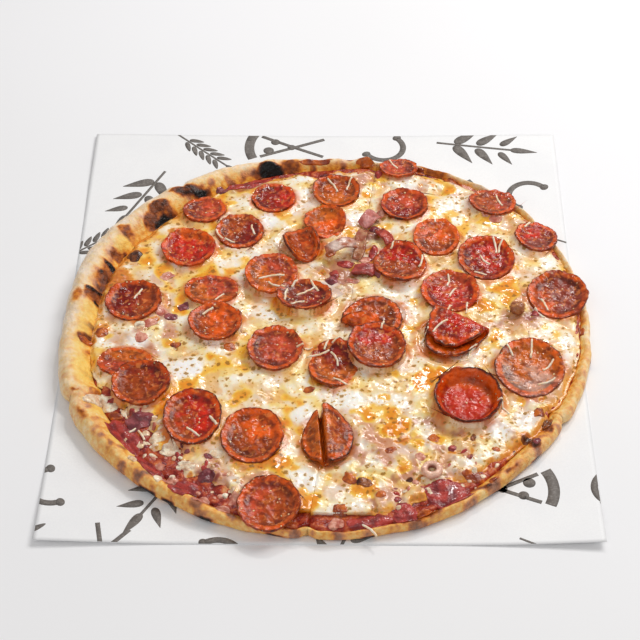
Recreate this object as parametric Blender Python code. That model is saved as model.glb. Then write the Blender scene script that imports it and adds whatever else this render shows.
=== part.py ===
"""Thin pepperoni pizza, cut into six slices and lying whole on a printed paper sheet.

Every length is in millimetres until a mesh is handed to its object, which is in metres.
X runs across the sheet, Y away from the front edge, Z up. The origin is on the surface
that the sheet lies on, at the middle of everything seen from above.
"""

from collections import namedtuple
from math import atan2, ceil, cos, exp, pi, radians, sin, sqrt

import bmesh
import bpy
from mathutils import Matrix, Vector, noise
from mathutils.bvhtree import BVHTree

MM = 0.001

# Paper sheet
PAPER_WIDTH = 305.0
PAPER_DEPTH = 352.0
PAPER_THICK = 0.3
PAPER_CENTRE = Vector((-2.8, 0.0))
PAPER_CELLS = (10, 12)
PAPER_CORNER_LIFT = {(-1, -1): 3.0, (1, -1): 4.0, (-1, 1): 1.5, (1, 1): 2.0}

# Pizza as a whole. The 16 values of a ring stand for directions 22.5 degrees apart,
# anticlockwise from the right, measured from the pizza's centre.
PIZZA_CENTRE = Vector((-0.7, -14.0))
OUTLINE = (157, 160, 164.5, 161.5, 156, 160, 159, 159.5, 156, 160.5, 160, 160, 160, 160, 156, 156.5)
RIM_WIDTH = (6, 4, 4, 5, 8, 16, 22, 23, 21, 20, 15, 9, 4, 6, 10, 9)
RIM_TOP = (7, 7, 7.5, 8.5, 9.5, 12, 14, 14.5, 13.5, 12.5, 11.5, 9, 6.5, 7.5, 8.5, 8)
SAUCE_SHOWN = (0.6, 0.6, 1, 2, 4, 2, 1, 1, 1, 4, 12, 11, 3, 8, 1, 0.6)

# Cuts: three straight cuts, six rays from the point where they meet
HUB = Vector((16.0, 29.0))
CUT_ANGLES = tuple(radians(a) for a in (28.2, 82.4, 138.7, 209.2, 262.5, 318.7))
KERF = 0.8
NOTCH_DEPTH = 2.5
NOTCH_WIDTH = 4.0

# Layers, as heights above the surface that the sheet lies on
GAP = 0.3
DOUGH_BASE = PAPER_THICK + GAP
DOUGH_TOP = 4.0
SAUCE_BASE = DOUGH_TOP + GAP
SAUCE_TOP = 5.4
CHEESE_BASE = SAUCE_TOP + GAP
CHEESE_THICK = 2.4
CHEESE_EDGE_THICK = 1.0
CHEESE_LIP_DROP = 0.7
CHEESE_ROWS = 21
RIM_STEP = 7.0

# Bubbles in the rim: direction in degrees, inset from the edge, radius, height
BUBBLES = (
    (134, 16, 9, 3.5),
    (121, 13, 7, 2.5),
    (104, 9, 8, 3.0),
    (152, 18, 6, 2.5),
    (163, 20, 8, 2.0),
    (81, 5, 7, 3.0),
    (186, 14, 8, 1.5),
    (222, 9, 7, 1.2),
    (321, 7, 6, 1.5),
    (345, 3, 4, 1.5),
)

# Pepperoni. Positions are from the pizza's centre. low is the direction of the side that
# leans down, turn the direction across the fold, both in degrees.
Topping = namedtuple("Topping", "name x y wide deep form lean low turn", defaults=(0, 270, 0))
PEPPERONI_THICK = 1.6
PEPPERONI_SIDES = 16
PEPPERONI_RINGS = (0.68, 1.0)
# Form: edge lift, saddle lift and how far out the floor is flat. A folded round also has a
# stretch across the fold, the fold's place and radius and its angle on the near and on the
# far side, or a crease's place and the height of the two leaves beside it.
Form = namedtuple("Form", "edge saddle floor stretch place radius near far leaves",
                  defaults=(0.45, 1, 0, 0, 0, 0, 0))
FORMS = {
    "flat": Form(1.0, 0.3),
    "cup": Form(2.4, 0.5, 0.6),
    "deep": Form(7.0, 0.2, 0.66),
    "curl": Form(1.6, 2.0),
    "trough": Form(0.8, 0.4, 0.45, 1.0, 0, 9.0, 42, 58),
    "lip": Form(1.0, 0.3, 0.45, 1.24, 6, 2.4, 0, 165),
    "clam": Form(0.8, 0.3, 0.45, 1.60, -1.0, 2.5, 3, 181),
    "book": Form(0.4, 0.3, 0.45, 1.0, -3, 0, 0, 0, 10.0),
}
# Lines across a folded round, as shares of its half width, and rows along the fold
FOLD_LINES = {
    "trough": (-1, -0.5, -0.25, 0, 0.25, 0.5, 0.68, 1),
    "lip": (-1, -0.4, 0.27, 0.36, 0.45, 0.52, 0.59, 0.8, 1),
    "clam": (-1, -0.5, -0.05, 0.03, 0.11, 0.19, 0.27, 0.4, 0.7, 1),
    "book": (-1, -0.65, -0.43, -0.32, -0.21, -0.09, 0.02, 0.5, 1),
}
FOLD_ROWS = 5
CREASE_WIDTH = 1.7
CREASE_WALL = 1.5
LEAF_DEPTH = 2.0
LEAF_SPREAD = (9.0, 17.0)
LEFT_LEAF = 0.72
PEPPERONI = (
    Topping("29", -116, -33, 32, 24, "flat", 3, 90),
    Topping("23", 5, -35, 30, 37, "curl", 3, 250, 60),
    Topping("16", -13, 19, 33, 27, "cup", 3, 90),
    Topping("08", -1, 91, 26, 29, "curl", 6, 270, 30),
    Topping("05", -77, 103, 27, 25, "flat", 3, 110),
    Topping("01", -34, 115, 28, 28, "flat"),
    Topping("02", 6, 121, 30, 30, "cup", 3, 270),
    Topping("03", 49, 108, 30, 30, "cup"),
    Topping("34", 46, 144, 25, 20, "flat", 5, 80),
    Topping("04", 105, 111, 30, 27, "flat", 6, 50),
    Topping("06", -85, 65, 33, 33, "cup", 3, 270),
    Topping("07", -54, 82, 30, 31, "flat", 2, 270),
    Topping("09", -16, 69, 27, 30, "trough", 0, 270, 20),
    Topping("10", 68, 76, 29, 32, "flat", 4, 270),
    Topping("11", 45, 51, 32, 34, "curl", 3, 270, 70),
    Topping("12", 98, 57, 35, 37, "cup", 5, 270),
    Topping("13", 130, 78, 26, 28, "flat", 8, 20),
    Topping("14", -33, 39, 32, 33, "flat", 4, 270),
    Topping("15", -69, 28, 33, 27, "flat", 3, 90),
    Topping("17", -115, 18, 34, 33, "cup", 4, 240),
    Topping("18", 75, 27, 35, 35, "cup", 2, 270),
    Topping("19", 139, 24, 36, 38, "cup", 6, 250),
    Topping("20", -65, -3, 32, 31, "cup", 3, 270),
    Topping("21", 29, 8, 36, 31, "lip", 2, 270, 250),
    Topping("22", -29, -24, 32, 34, "cup", 4, 270),
    Topping("24", 30, -24, 34, 36, "cup", 5, 340),
    Topping("25", 72, -13, 36, 38, "clam", 2, 270, 58),
    Topping("26", 118, -38, 40, 44, "cup", 6, 270),
    Topping("27", 81, -64, 38, 41, "deep", 3, 270),
    Topping("28", -105, -53, 34, 33, "cup", 6, 240),
    Topping("30", -74, -79, 33, 40, "cup", 5, 270),
    Topping("31", -40, -92, 35, 40, "cup", 4, 270),
    Topping("32", 2, -94, 29, 37, "book", 0, 270, 5),
    Topping("33", -29, -142, 34, 37, "cup", 5, 262),
)

# Strips of sliced sausage and ham in the jumble behind the hub: x, y, length, width, arch,
# turn
MEAT_STRIPS = (
    (21, 69, 28, 6, 3.0, 76),
    (9, 61, 20, 8, 3.5, 12),
    (23, 45, 14, 9, 2.0, 160),
    (27, 93, 15, 10, 3.5, 40),
    (36, 77, 15, 6, 2.5, 110),
)
STRIP_THICK = 1.5
NUGGET = (114, 10, 9, 7)
RING_BIT = (59, -117, 12, 4)

CLEARANCE = 0.35

# Grated cheese strewn on top after baking, fused to what it lies on: x, y, direction, length
SHRED_WIDTH = 1.4
SHRED_HEIGHT = 1.2
SHRED_STEPS = 2
SHRED_SPACE = 1.6
SHORTER = (1.0, 0.75, 0.55)
SHREDS = (
    (-46, 83, 105, 9), (-67, 78, 120, 9), (-60, 73, 150, 7), (-33, 36, 12, 16), (-30, 28, 150, 12),
    (-18, 31, 60, 10), (-24, 19, 85, 10), (-12, 23, 35, 13), (-7, 28, 120, 10), (-17, 13, 20, 9),
    (-3, 33, 150, 10), (-113, 24, 60, 9), (-70, 6, 40, 8), (-64, 21, 50, 8), (4, 127, 120, 13),
    (14, 128, 70, 11), (42, 149, 120, 13), (109, 113, 105, 12), (68, 93, 85, 9), (41, 67, 75, 10),
    (58, 52, 75, 9), (104, 68, 98, 12), (107, 67, 72, 10), (97, 56, 130, 9), (94, 45, 160, 8),
    (126, 90, 60, 9), (74, 37, 85, 9), (76, 27, 60, 8), (73, 12, 70, 9), (84, 13, 85, 9),
    (131, 17, 110, 10), (127, 9, 130, 9), (-44, -14, 75, 9), (-12, -22, 20, 10), (-4, -27, 20, 14),
    (1, -19, 70, 10), (6, -31, 110, 12), (8, -17, 30, 10), (9, -49, 150, 9), (-62, -82, 120, 9),
    (-73, -89, 140, 10), (-106, -84, 50, 9), (-102, -89, 120, 8), (34, -6, 70, 9), (67, -8, 45, 13),
    (85, -23, 60, 11), (82, -28, 30, 8), (106, -23, 120, 13), (120, -18, 88, 24), (129, -36, 50, 10),
    (127, -48, 20, 11), (101, -70, 140, 9), (25, -157, 135, 11), (-113, -73, 120, 8), (58, -12, 60, 8),
)


def ring_value(values, angle):
    """Smooth closed curve through values evenly spread round a turn."""
    count = len(values)
    position = (angle / (2 * pi)) % 1.0 * count
    first = int(position) % count
    f = position - int(position)
    a, b, c, d = (values[(first + k) % count] for k in (-1, 0, 1, 2))
    return b + 0.5 * f * (c - a + f * (2 * a - 5 * b + 4 * c - d + f * (3 * (b - c) + d - a)))


def smoothstep(low, high, value):
    t = min(1.0, max(0.0, (value - low) / (high - low)))
    return t * t * (3 - 2 * t)


def heading(angle):
    return Vector((cos(angle), sin(angle)))


def wander(point, wavelength, seed):
    """Noise from about -1 to 1 that is the same each run."""
    return noise.noise(Vector((point.x / wavelength, point.y / wavelength, seed)))


def plain_radius(angle):
    edge = heading(angle) * 158
    return ring_value(OUTLINE, angle) + 0.9 * wander(edge, 14, 3.7)


def distance_to_edge(start, angle, radius_at):
    """How far the pizza's edge is from start in a direction."""
    near, far = 60.0, 230.0
    for _ in range(32):
        middle = (near + far) / 2
        point = start + heading(angle) * middle
        if point.length < radius_at(atan2(point.y, point.x)):
            near = middle
        else:
            far = middle
    return near


def cut_ends():
    """Where each cut leaves the pizza."""
    return [HUB + heading(a) * distance_to_edge(HUB, a, plain_radius) for a in CUT_ANGLES]


CUT_ENDS = cut_ends()


def edge_radius(angle):
    """Radius of the pizza's edge, with the small notch that each cut leaves."""
    radius = plain_radius(angle)
    point = heading(angle) * radius
    for end in CUT_ENDS:
        radius -= NOTCH_DEPTH * exp(-((point - end).length / NOTCH_WIDTH) ** 2)
    return radius


def tip_of(start, end):
    """A slice's tip, set back from both cuts by half the kerf."""
    middle = (start + end) / 2
    return HUB + heading(middle) * (KERF / 2 / sin((end - start) / 2))


def slice_angles():
    for index, start in enumerate(CUT_ANGLES):
        end = CUT_ANGLES[(index + 1) % len(CUT_ANGLES)]
        if end < start:
            end += 2 * pi
        yield index + 1, start, end


def rim_at(tip, angle):
    """Distance from the tip to the edge, and the direction there from the centre."""
    reach = distance_to_edge(tip, angle, edge_radius)
    point = tip + heading(angle) * reach
    return reach, atan2(point.y, point.x)


def bubble_lift(point):
    lift = 0.0
    for direction, inset, radius, height in BUBBLES:
        angle = radians(direction)
        centre = heading(angle) * (ring_value(OUTLINE, angle) - inset)
        lift += height * exp(-((point - centre).length / (0.75 * radius)) ** 2)
    return lift


def rim_profile(angle):
    """Inset from the edge and height of the rim's points, from its underside to its foot."""
    width = ring_value(RIM_WIDTH, angle)
    rise = ring_value(RIM_TOP, angle) - DOUGH_BASE
    foot_rise = DOUGH_TOP - DOUGH_BASE
    return (
        (min(0.30 * rise, 0.5 * width), 0.0, 0.0),
        (0.04 * rise, 0.20 * rise, 0.0),
        (0.0, 0.45 * rise, 0.3),
        (0.10 * width, 0.82 * rise, 0.8),
        (0.30 * width, rise, 1.0),
        (0.55 * width, 0.92 * rise, 1.0),
        (0.80 * width, foot_rise + 0.42 * (rise - foot_rise), 0.6),
        (1.00 * width, foot_rise, 0.0),
    )


def crust_mesh(start, end):
    """One slice of dough: flat under the toppings, with a raised uneven rim."""
    tip = tip_of(start, end)
    columns = ceil((end - start) * 150 / RIM_STEP)
    bm = bmesh.new()
    grid = []
    for j in range(columns + 1):
        angle = start + (end - start) * j / columns
        reach, direction = rim_at(tip, angle)
        column = []
        for inset, height, freedom in rim_profile(direction):
            flat = tip + heading(angle) * (reach - inset)
            lift = 0.9 * wander(flat, 16, 8.1) + 0.5 * wander(flat, 7, 2.2) + bubble_lift(flat)
            column.append(bm.verts.new((*flat, DOUGH_BASE + height + freedom * lift)))
        grid.append(column)
    tip_low = bm.verts.new((*tip, DOUGH_BASE))
    tip_high = bm.verts.new((*tip, DOUGH_TOP))
    for left, right in zip(grid, grid[1:]):
        for k in range(len(left) - 1):
            bm.faces.new((left[k], right[k], right[k + 1], left[k + 1]))
    bm.faces.new([tip_high] + [column[-1] for column in grid])
    bm.faces.new([tip_low] + [column[0] for column in grid])
    bm.faces.new([tip_low] + grid[0] + [tip_high])
    bm.faces.new([tip_low] + grid[-1] + [tip_high])
    return bm


def sauce_edge_inset(direction):
    return ring_value(RIM_WIDTH, direction) + 0.5


def cheese_edge_inset(direction):
    """Inset of the cheese's uneven edge; the sauce shows between it and the rim."""
    point = heading(direction) * 150
    shown = max(0.5, ring_value(SAUCE_SHOWN, direction))
    ragged = 0.35 * shown * wander(point, 9, 5.3) + 0.8 * wander(point, 5, 1.9)
    return sauce_edge_inset(direction) + max(0.8, shown + ragged)


def sauce_mesh(start, end):
    """A thin layer of tomato sauce that shows as a lumpy band outside the cheese."""
    tip = tip_of(start, end)
    columns = ceil((end - start) * 145 / RIM_STEP)
    bm = bmesh.new()
    grid = []
    for j in range(columns + 1):
        angle = start + (end - start) * j / columns
        reach, direction = rim_at(tip, angle)
        outer = reach - sauce_edge_inset(direction)
        band = cheese_edge_inset(direction) - sauce_edge_inset(direction)
        flat = tip + heading(angle) * outer
        lump = min(1.0, band / 6) * (0.5 + 0.8 * wander(flat, 8, 6.6))
        column = [bm.verts.new((*flat, SAUCE_BASE)), bm.verts.new((*flat, SAUCE_TOP - 0.4))]
        ridge = tip + heading(angle) * (outer - 0.5 * band)
        column.append(bm.verts.new((*ridge, SAUCE_TOP + max(0.0, lump))))
        inner = tip + heading(angle) * (outer - band + 0.2)
        column.append(bm.verts.new((*inner, SAUCE_TOP)))
        grid.append(column)
    tip_low = bm.verts.new((*tip, SAUCE_BASE))
    tip_high = bm.verts.new((*tip, SAUCE_TOP))
    for left, right in zip(grid, grid[1:]):
        for k in range(len(left) - 1):
            bm.faces.new((left[k], right[k], right[k + 1], left[k + 1]))
    bm.faces.new([tip_high] + [column[-1] for column in grid])
    bm.faces.new([tip_low] + [column[0] for column in grid])
    bm.faces.new([tip_low] + grid[0] + [tip_high])
    bm.faces.new([tip_low] + grid[-1] + [tip_high])
    return bm


def cheese_top(point):
    """Height of the melted cheese, pressed flat and banked up under each topping."""
    height = CHEESE_BASE + CHEESE_THICK
    height += 1.3 * wander(point, 26, 4.4) + 1.2 * wander(point, 12, 9.2)
    for top in PEPPERONI:
        reach = (top.wide + top.deep) / 4
        offset = point - Vector((top.x, top.y))
        weight = 1 - smoothstep(reach - 1, reach + 5, offset.length)
        if weight > 0:
            rise = -offset.dot(heading(radians(top.low))) * 0.9 * sin(radians(top.lean))
            pad = CHEESE_BASE + CHEESE_THICK - 0.4 + rise
            height += weight * (pad - height)
    return max(CHEESE_BASE + CHEESE_EDGE_THICK, height)


def cheese_mesh(start, end):
    """One slice of cheese: a triangular lattice from tip to edge over a flat underside."""
    tip = tip_of(start, end)
    bm = bmesh.new()
    rows = []
    for i in range(CHEESE_ROWS + 1):
        row = []
        for j in range(i + 1):
            across = j / i if i else 0.5
            angle = start + (end - start) * across
            reach, direction = rim_at(tip, angle)
            reach -= cheese_edge_inset(direction)
            point = tip + heading(angle) * reach * i / CHEESE_ROWS
            height = cheese_top(point)
            if j in (0, i):
                height -= CHEESE_LIP_DROP
            if i == CHEESE_ROWS:
                height = CHEESE_BASE + CHEESE_EDGE_THICK
            row.append(bm.verts.new((*point, max(height, CHEESE_BASE + 0.6))))
        rows.append(row)
    for upper, lower in zip(rows, rows[1:]):
        for j in range(len(upper)):
            bm.faces.new((upper[j], lower[j], lower[j + 1]))
            if j:
                bm.faces.new((upper[j - 1], lower[j], upper[j]))
    border = [row[0] for row in rows] + rows[-1][1:] + [row[-1] for row in rows[-2:0:-1]]
    low = [bm.verts.new((v.co.x, v.co.y, CHEESE_BASE)) for v in border]
    for k in range(len(border)):
        following = (k + 1) % len(border)
        bm.faces.new((border[k], border[following], low[following], low[k]))
    bm.faces.new(low)
    return bm


def bend(point, form):
    """Carry a point of a flat sheet round a fold that runs along the sheet's Y axis."""
    x = point.x - form.place
    angle = min(abs(x) / form.radius, radians(form.far if x > 0 else form.near))
    straight = abs(x) - form.radius * angle
    side = 1 if x > 0 else -1
    out = form.radius * sin(angle) + straight * cos(angle) - point.z * sin(angle)
    up = form.radius * (1 - cos(angle)) + straight * sin(angle) + point.z * cos(angle)
    return Vector((side * out + form.place, point.y, up))


def crease_lift(x, y, form):
    """Height of the two leaves that stand up beside a crease, the left one lower."""
    out = abs(x - form.place)
    left = x < form.place
    height = form.leaves * (LEFT_LEAF if left else 1) * (0.8 + 0.02 * y)
    fall = 1 - 0.9 * smoothstep(CREASE_WIDTH, LEAF_SPREAD[0 if left else 1], out)
    return height * smoothstep(0, CREASE_WIDTH, out) * fall


def beneath_leaf(point, form):
    """Height of the underside below a point on a creased round's top."""
    clear = min(1, max(0, (abs(point.x - form.place) - CREASE_WIDTH) / CREASE_WALL))
    return (point.z - LEAF_DEPTH) * clear - PEPPERONI_THICK * (1 - clear)


def round_point(top, share, angle, trim=1.0):
    """A point of the round's sheet, in the frame whose X axis runs across the fold."""
    form = FORMS[top.form]
    turn = radians(top.turn)
    ragged = wander(Vector((3 * cos(angle) + top.x, 3 * sin(angle))), 1.3, 7.7)
    reach = share * trim * (1 + 0.05 * share ** 2 * ragged)
    plan = Vector((cos(angle) * top.wide / 2, sin(angle) * top.deep / 2)) * reach
    plan = Matrix.Rotation(-turn, 2) @ plan
    plan.x *= form.stretch
    lift = form.edge * smoothstep(form.floor, 1, share)
    lift += form.saddle * share ** 2 * cos(2 * (angle - turn))
    if form.leaves:
        lift += crease_lift(plan.x, plan.y, form)
    return Vector((*plan, lift))


def plain_round(top):
    """A round that has only cupped or curled: rings of points round a middle, twice."""
    bm = bmesh.new()
    spin = Matrix.Rotation(radians(top.turn), 3, "Z")
    layers = []
    for base, trim in ((0.0, 1.0), (-PEPPERONI_THICK, 0.97)):
        depth = Vector((0, 0, base))
        rings = [[bm.verts.new(depth)]]
        for share in PEPPERONI_RINGS:
            angles = (2 * pi * k / PEPPERONI_SIDES for k in range(PEPPERONI_SIDES))
            rings.append([bm.verts.new(spin @ (round_point(top, share, a, trim) + depth)) for a in angles])
        layers.append(rings)
    for (centre,), *rings in layers:
        for k in range(PEPPERONI_SIDES):
            following = (k + 1) % PEPPERONI_SIDES
            bm.faces.new((centre, rings[0][k], rings[0][following]))
            for inner, outer in zip(rings, rings[1:]):
                bm.faces.new((inner[k], outer[k], outer[following], inner[following]))
    upper, lower = layers[0][-1], layers[1][-1]
    for k in range(PEPPERONI_SIDES):
        following = (k + 1) % PEPPERONI_SIDES
        bm.faces.new((upper[k], lower[k], lower[following], upper[following]))
    return bm


def folded_round(top):
    """A round that has folded over: a sheet with lines along its fold, given its thickness."""
    bm = bmesh.new()
    form = FORMS[top.form]
    lines = FOLD_LINES[top.form]
    bmesh.ops.create_grid(bm, x_segments=len(lines) - 1, y_segments=FOLD_ROWS, size=0.5)
    for v in bm.verts:
        u = lines[round((v.co.x + 0.5) * (len(lines) - 1))]
        w = 2 * v.co.y
        on_disc = Vector((u * sqrt(1 - w * w / 2), w * sqrt(1 - u * u / 2)))
        angle = atan2(on_disc.y, on_disc.x) + radians(top.turn)
        v.co = round_point(top, on_disc.length, angle)
        if form.radius:
            v.co = bend(v.co, form)
    if form.leaves:
        grown = bmesh.ops.extrude_face_region(bm, geom=bm.faces[:])
        for v in (g for g in grown["geom"] if isinstance(g, bmesh.types.BMVert)):
            v.co.z = beneath_leaf(v.co, form)
    else:
        bm.normal_update()
        bmesh.ops.solidify(bm, geom=bm.faces[:], thickness=PEPPERONI_THICK)
    middle = (min(v.co.x for v in bm.verts) + max(v.co.x for v in bm.verts)) / 2
    bmesh.ops.translate(bm, verts=bm.verts[:], vec=(-middle, 0, 0))
    bmesh.ops.rotate(bm, verts=bm.verts[:], cent=(0, 0, 0), matrix=Matrix.Rotation(radians(top.turn), 3, "Z"))
    return bm


def pepperoni_mesh(top):
    """A thin round of sausage whose edge has cupped, curled or folded in the heat."""
    return folded_round(top) if top.form in FOLD_LINES else plain_round(top)


def strip_mesh(length, width, arch):
    """A strip of sausage, arched along its length."""
    bm = bmesh.new()
    bmesh.ops.create_grid(bm, x_segments=6, y_segments=2, size=0.5)
    for v in bm.verts:
        along = 2 * v.co.x
        v.co = Vector((v.co.x * length, v.co.y * width, arch * (1 - along ** 2) + 0.8 * v.co.y ** 2))
        v.co.y += 1.2 * sin(2.5 * along)
    grown = bmesh.ops.extrude_face_region(bm, geom=bm.faces[:])
    for v in (g for g in grown["geom"] if isinstance(g, bmesh.types.BMVert)):
        v.co.z += STRIP_THICK
    return bm


def nugget_mesh(across, height):
    """A browned crumb of meat."""
    bm = bmesh.new()
    bmesh.ops.create_icosphere(bm, subdivisions=1, radius=1)
    for v in bm.verts:
        size = 1 + 0.18 * noise.noise(v.co * 1.7)
        v.co = Vector((v.co.x * across / 2, v.co.y * across / 2, v.co.z * height / 2)) * size
    return bm


def ring_mesh(across, thick):
    """A small soft ring, lying flat."""
    bm = bmesh.new()
    ring_radius = (across - thick) / 2
    section = bmesh.ops.create_circle(bm, segments=7, radius=thick / 2)["verts"]
    bmesh.ops.rotate(bm, verts=section, cent=(0, 0, 0), matrix=Matrix.Rotation(pi / 2, 3, "X"))
    bmesh.ops.translate(bm, verts=section, vec=(ring_radius, 0, 0))
    bmesh.ops.spin(bm, geom=bm.verts[:] + bm.edges[:], cent=(0, 0, 0), axis=(0, 0, 1),
                   angle=2 * pi, steps=12, use_merge=True)
    bmesh.ops.remove_doubles(bm, verts=bm.verts[:], dist=0.01)
    return bm


def paper_mesh():
    """A square-cornered sheet, flat under the pizza, with its corners a little raised."""
    bm = bmesh.new()
    bmesh.ops.create_grid(bm, x_segments=PAPER_CELLS[0], y_segments=PAPER_CELLS[1], size=1)
    for v in bm.verts:
        sides = [1 if c > 0 else -1 for c in v.co[:2]]
        x, y = (s * abs(c) ** 0.6 for s, c in zip(sides, v.co[:2]))
        flat = Vector((x * PAPER_WIDTH / 2, y * PAPER_DEPTH / 2)) + PAPER_CENTRE
        clear = (flat - PIZZA_CENTRE).length - 172
        lift = PAPER_CORNER_LIFT[tuple(sides)] * smoothstep(0, 62, clear)
        v.co = Vector((*flat, lift))
    grown = bmesh.ops.extrude_face_region(bm, geom=bm.faces[:])
    for v in (g for g in grown["geom"] if isinstance(g, bmesh.types.BMVert)):
        v.co.z += PAPER_THICK
    return bm


def make_material(name, color, roughness):
    material = bpy.data.materials.new(name)
    material.use_nodes = True
    shader = material.node_tree.nodes["Principled BSDF"]
    shader.inputs["Base Color"].default_value = (*color, 1)
    shader.inputs["Roughness"].default_value = roughness
    shader.inputs["Metallic"].default_value = 0
    return material


def add_object(name, bm, material, place=Matrix()):
    """Close the mesh's normals, turn it to metres and put it in the scene."""
    bmesh.ops.recalc_face_normals(bm, faces=bm.faces[:])
    bmesh.ops.scale(bm, vec=(MM, MM, MM), verts=bm.verts[:])
    mesh = bpy.data.meshes.new(name)
    bm.to_mesh(mesh)
    bm.free()
    mesh.materials.append(material)
    mesh.shade_smooth()
    mesh.set_sharp_from_angle(angle=radians(45))
    part = bpy.data.objects.new(name, mesh)
    part.matrix_world = place
    bpy.context.scene.collection.objects.link(part)
    return part


def world_surface(part, cuts=0):
    """A part's surface in world space, each face cut up for a closer look."""
    bm = bmesh.new()
    bm.from_mesh(part.data)
    bmesh.ops.triangulate(bm, faces=bm.faces[:])
    if cuts:
        bmesh.ops.subdivide_edges(bm, edges=bm.edges[:], cuts=cuts, use_grid_fill=True)
        bmesh.ops.triangulate(bm, faces=bm.faces[:])
    bm.transform(part.matrix_world)
    return bm


def settle(part, ground):
    """Lower or raise a part until it lies just clear of everything in ground."""
    own = world_surface(part, cuts=2)
    own_tree = BVHTree.FromBMesh(own)
    high = Vector((0, 0, 1))
    lift = -1.0
    low, top = [Vector(f(v.co[i] for v in own.verts) for i in range(3)) for f in (min, max)]
    for other in ground:
        corners = [other.matrix_world @ Vector(c) for c in other.bound_box]
        if any(max(c[i] for c in corners) < low[i] or min(c[i] for c in corners) > top[i] for i in (0, 1)):
            continue
        surface = world_surface(other, cuts=1)
        tree = BVHTree.FromBMesh(surface)
        for v in own.verts:
            hit = tree.ray_cast(v.co + high, -high)[0]
            if hit:
                lift = max(lift, hit.z - v.co.z)
        for v in surface.verts:
            hit = own_tree.ray_cast(v.co - high, high)[0]
            if hit:
                lift = max(lift, v.co.z - hit.z)
        surface.free()
    own.free()
    part.matrix_world = Matrix.Translation((0, 0, lift + CLEARANCE * MM)) @ part.matrix_world


def shred_path(centre, angle, length, carrier, others):
    """Points of a shred laid on its carrier, or None where it would touch something else."""
    along = heading(angle)
    beside = heading(angle + pi / 2)
    path = []
    for k in range(SHRED_STEPS + 1):
        share = k / SHRED_STEPS - 0.5
        middle = centre + along * share * length + beside * 0.12 * length * (share ** 2 - 0.1)
        for offset in (beside * SHRED_SPACE, -beside * SHRED_SPACE, along * 2 * share * SHRED_SPACE):
            above = Vector((*((middle + offset) * MM), 1))
            hit = carrier.ray_cast(above, Vector((0, 0, -1)))[0]
            blocked = (tree.ray_cast(above, Vector((0, 0, -1)))[0] for tree in others)
            if hit is None or any(b and b.z > hit.z for b in blocked):
                return None
        hit = carrier.ray_cast(Vector((*(middle * MM), 1)), Vector((0, 0, -1)))[0]
        path.append(Vector((*middle, hit.z / MM + 0.3)))
    return path


def shred_mesh(path):
    """A square rod along a path."""
    bm = bmesh.new()
    run = path[-1] - path[0]
    side = Vector((-run.y, run.x, 0)).normalized() * SHRED_WIDTH / 2
    rise = Vector((0, 0, SHRED_HEIGHT / 2))
    corners = (side + rise, rise - side, -side - rise, side - rise)
    rings = [[bm.verts.new(point + corner) for corner in corners] for point in path]
    for near, far in zip(rings, rings[1:]):
        for k in range(4):
            bm.faces.new((near[k], near[k - 1], far[k - 1], far[k]))
    bm.faces.new(rings[0])
    bm.faces.new(rings[-1])
    return bm


def fuse(host, pieces):
    """Join loose pieces to the part that they lie on."""
    group = bpy.data.collections.new("strewn")
    bpy.context.scene.collection.children.link(group)
    for piece in pieces:
        bpy.context.scene.collection.objects.unlink(piece)
        group.objects.link(piece)
    union = host.modifiers.new("fuse", "BOOLEAN")
    union.operation = "UNION"
    union.operand_type = "COLLECTION"
    union.collection = group
    union.solver = "EXACT"
    bpy.context.view_layer.update()
    evaluated = host.evaluated_get(bpy.context.evaluated_depsgraph_get())
    joined = bpy.data.meshes.new_from_object(evaluated)
    host.modifiers.clear()
    host.data = joined
    for piece in pieces:
        bpy.data.objects.remove(piece, do_unlink=True)
    bpy.data.collections.remove(group)


def strew_cheese(parts, material):
    """Lay each shred on the topmost part under it, shortened or left out where it won't fit."""
    trees = {p.name: BVHTree.FromBMesh(world_surface(p)) for p in parts}
    laid = {p.name: [] for p in parts}
    for x, y, direction, length in SHREDS:
        centre = Vector((x, y)) + PIZZA_CENTRE
        above = Vector((*(centre * MM), 1))
        hits = {name: tree.ray_cast(above, Vector((0, 0, -1)))[0] for name, tree in trees.items()}
        topmost = max((name for name in hits if hits[name]), key=lambda name: hits[name].z)
        others = [tree for name, tree in trees.items() if name != topmost]
        for share in SHORTER:
            path = shred_path(centre, radians(direction), length * share, trees[topmost], others)
            if path:
                laid[topmost].append(add_object("shred", shred_mesh(path), material))
                break
    for part in parts:
        if laid[part.name]:
            fuse(part, laid[part.name])


def leaning(x, y, lean=0.0, low=0.0, turn=0.0):
    """Place on the pizza, high enough to be lowered, with one side leaning down."""
    centre = Vector((x, y)) + PIZZA_CENTRE
    axis = Vector((-sin(low), cos(low), 0))
    return (Matrix.Translation(Vector((*centre, CHEESE_BASE + 4)) * MM)
            @ Matrix.Rotation(lean, 4, axis) @ Matrix.Rotation(turn, 4, "Z"))


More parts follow.
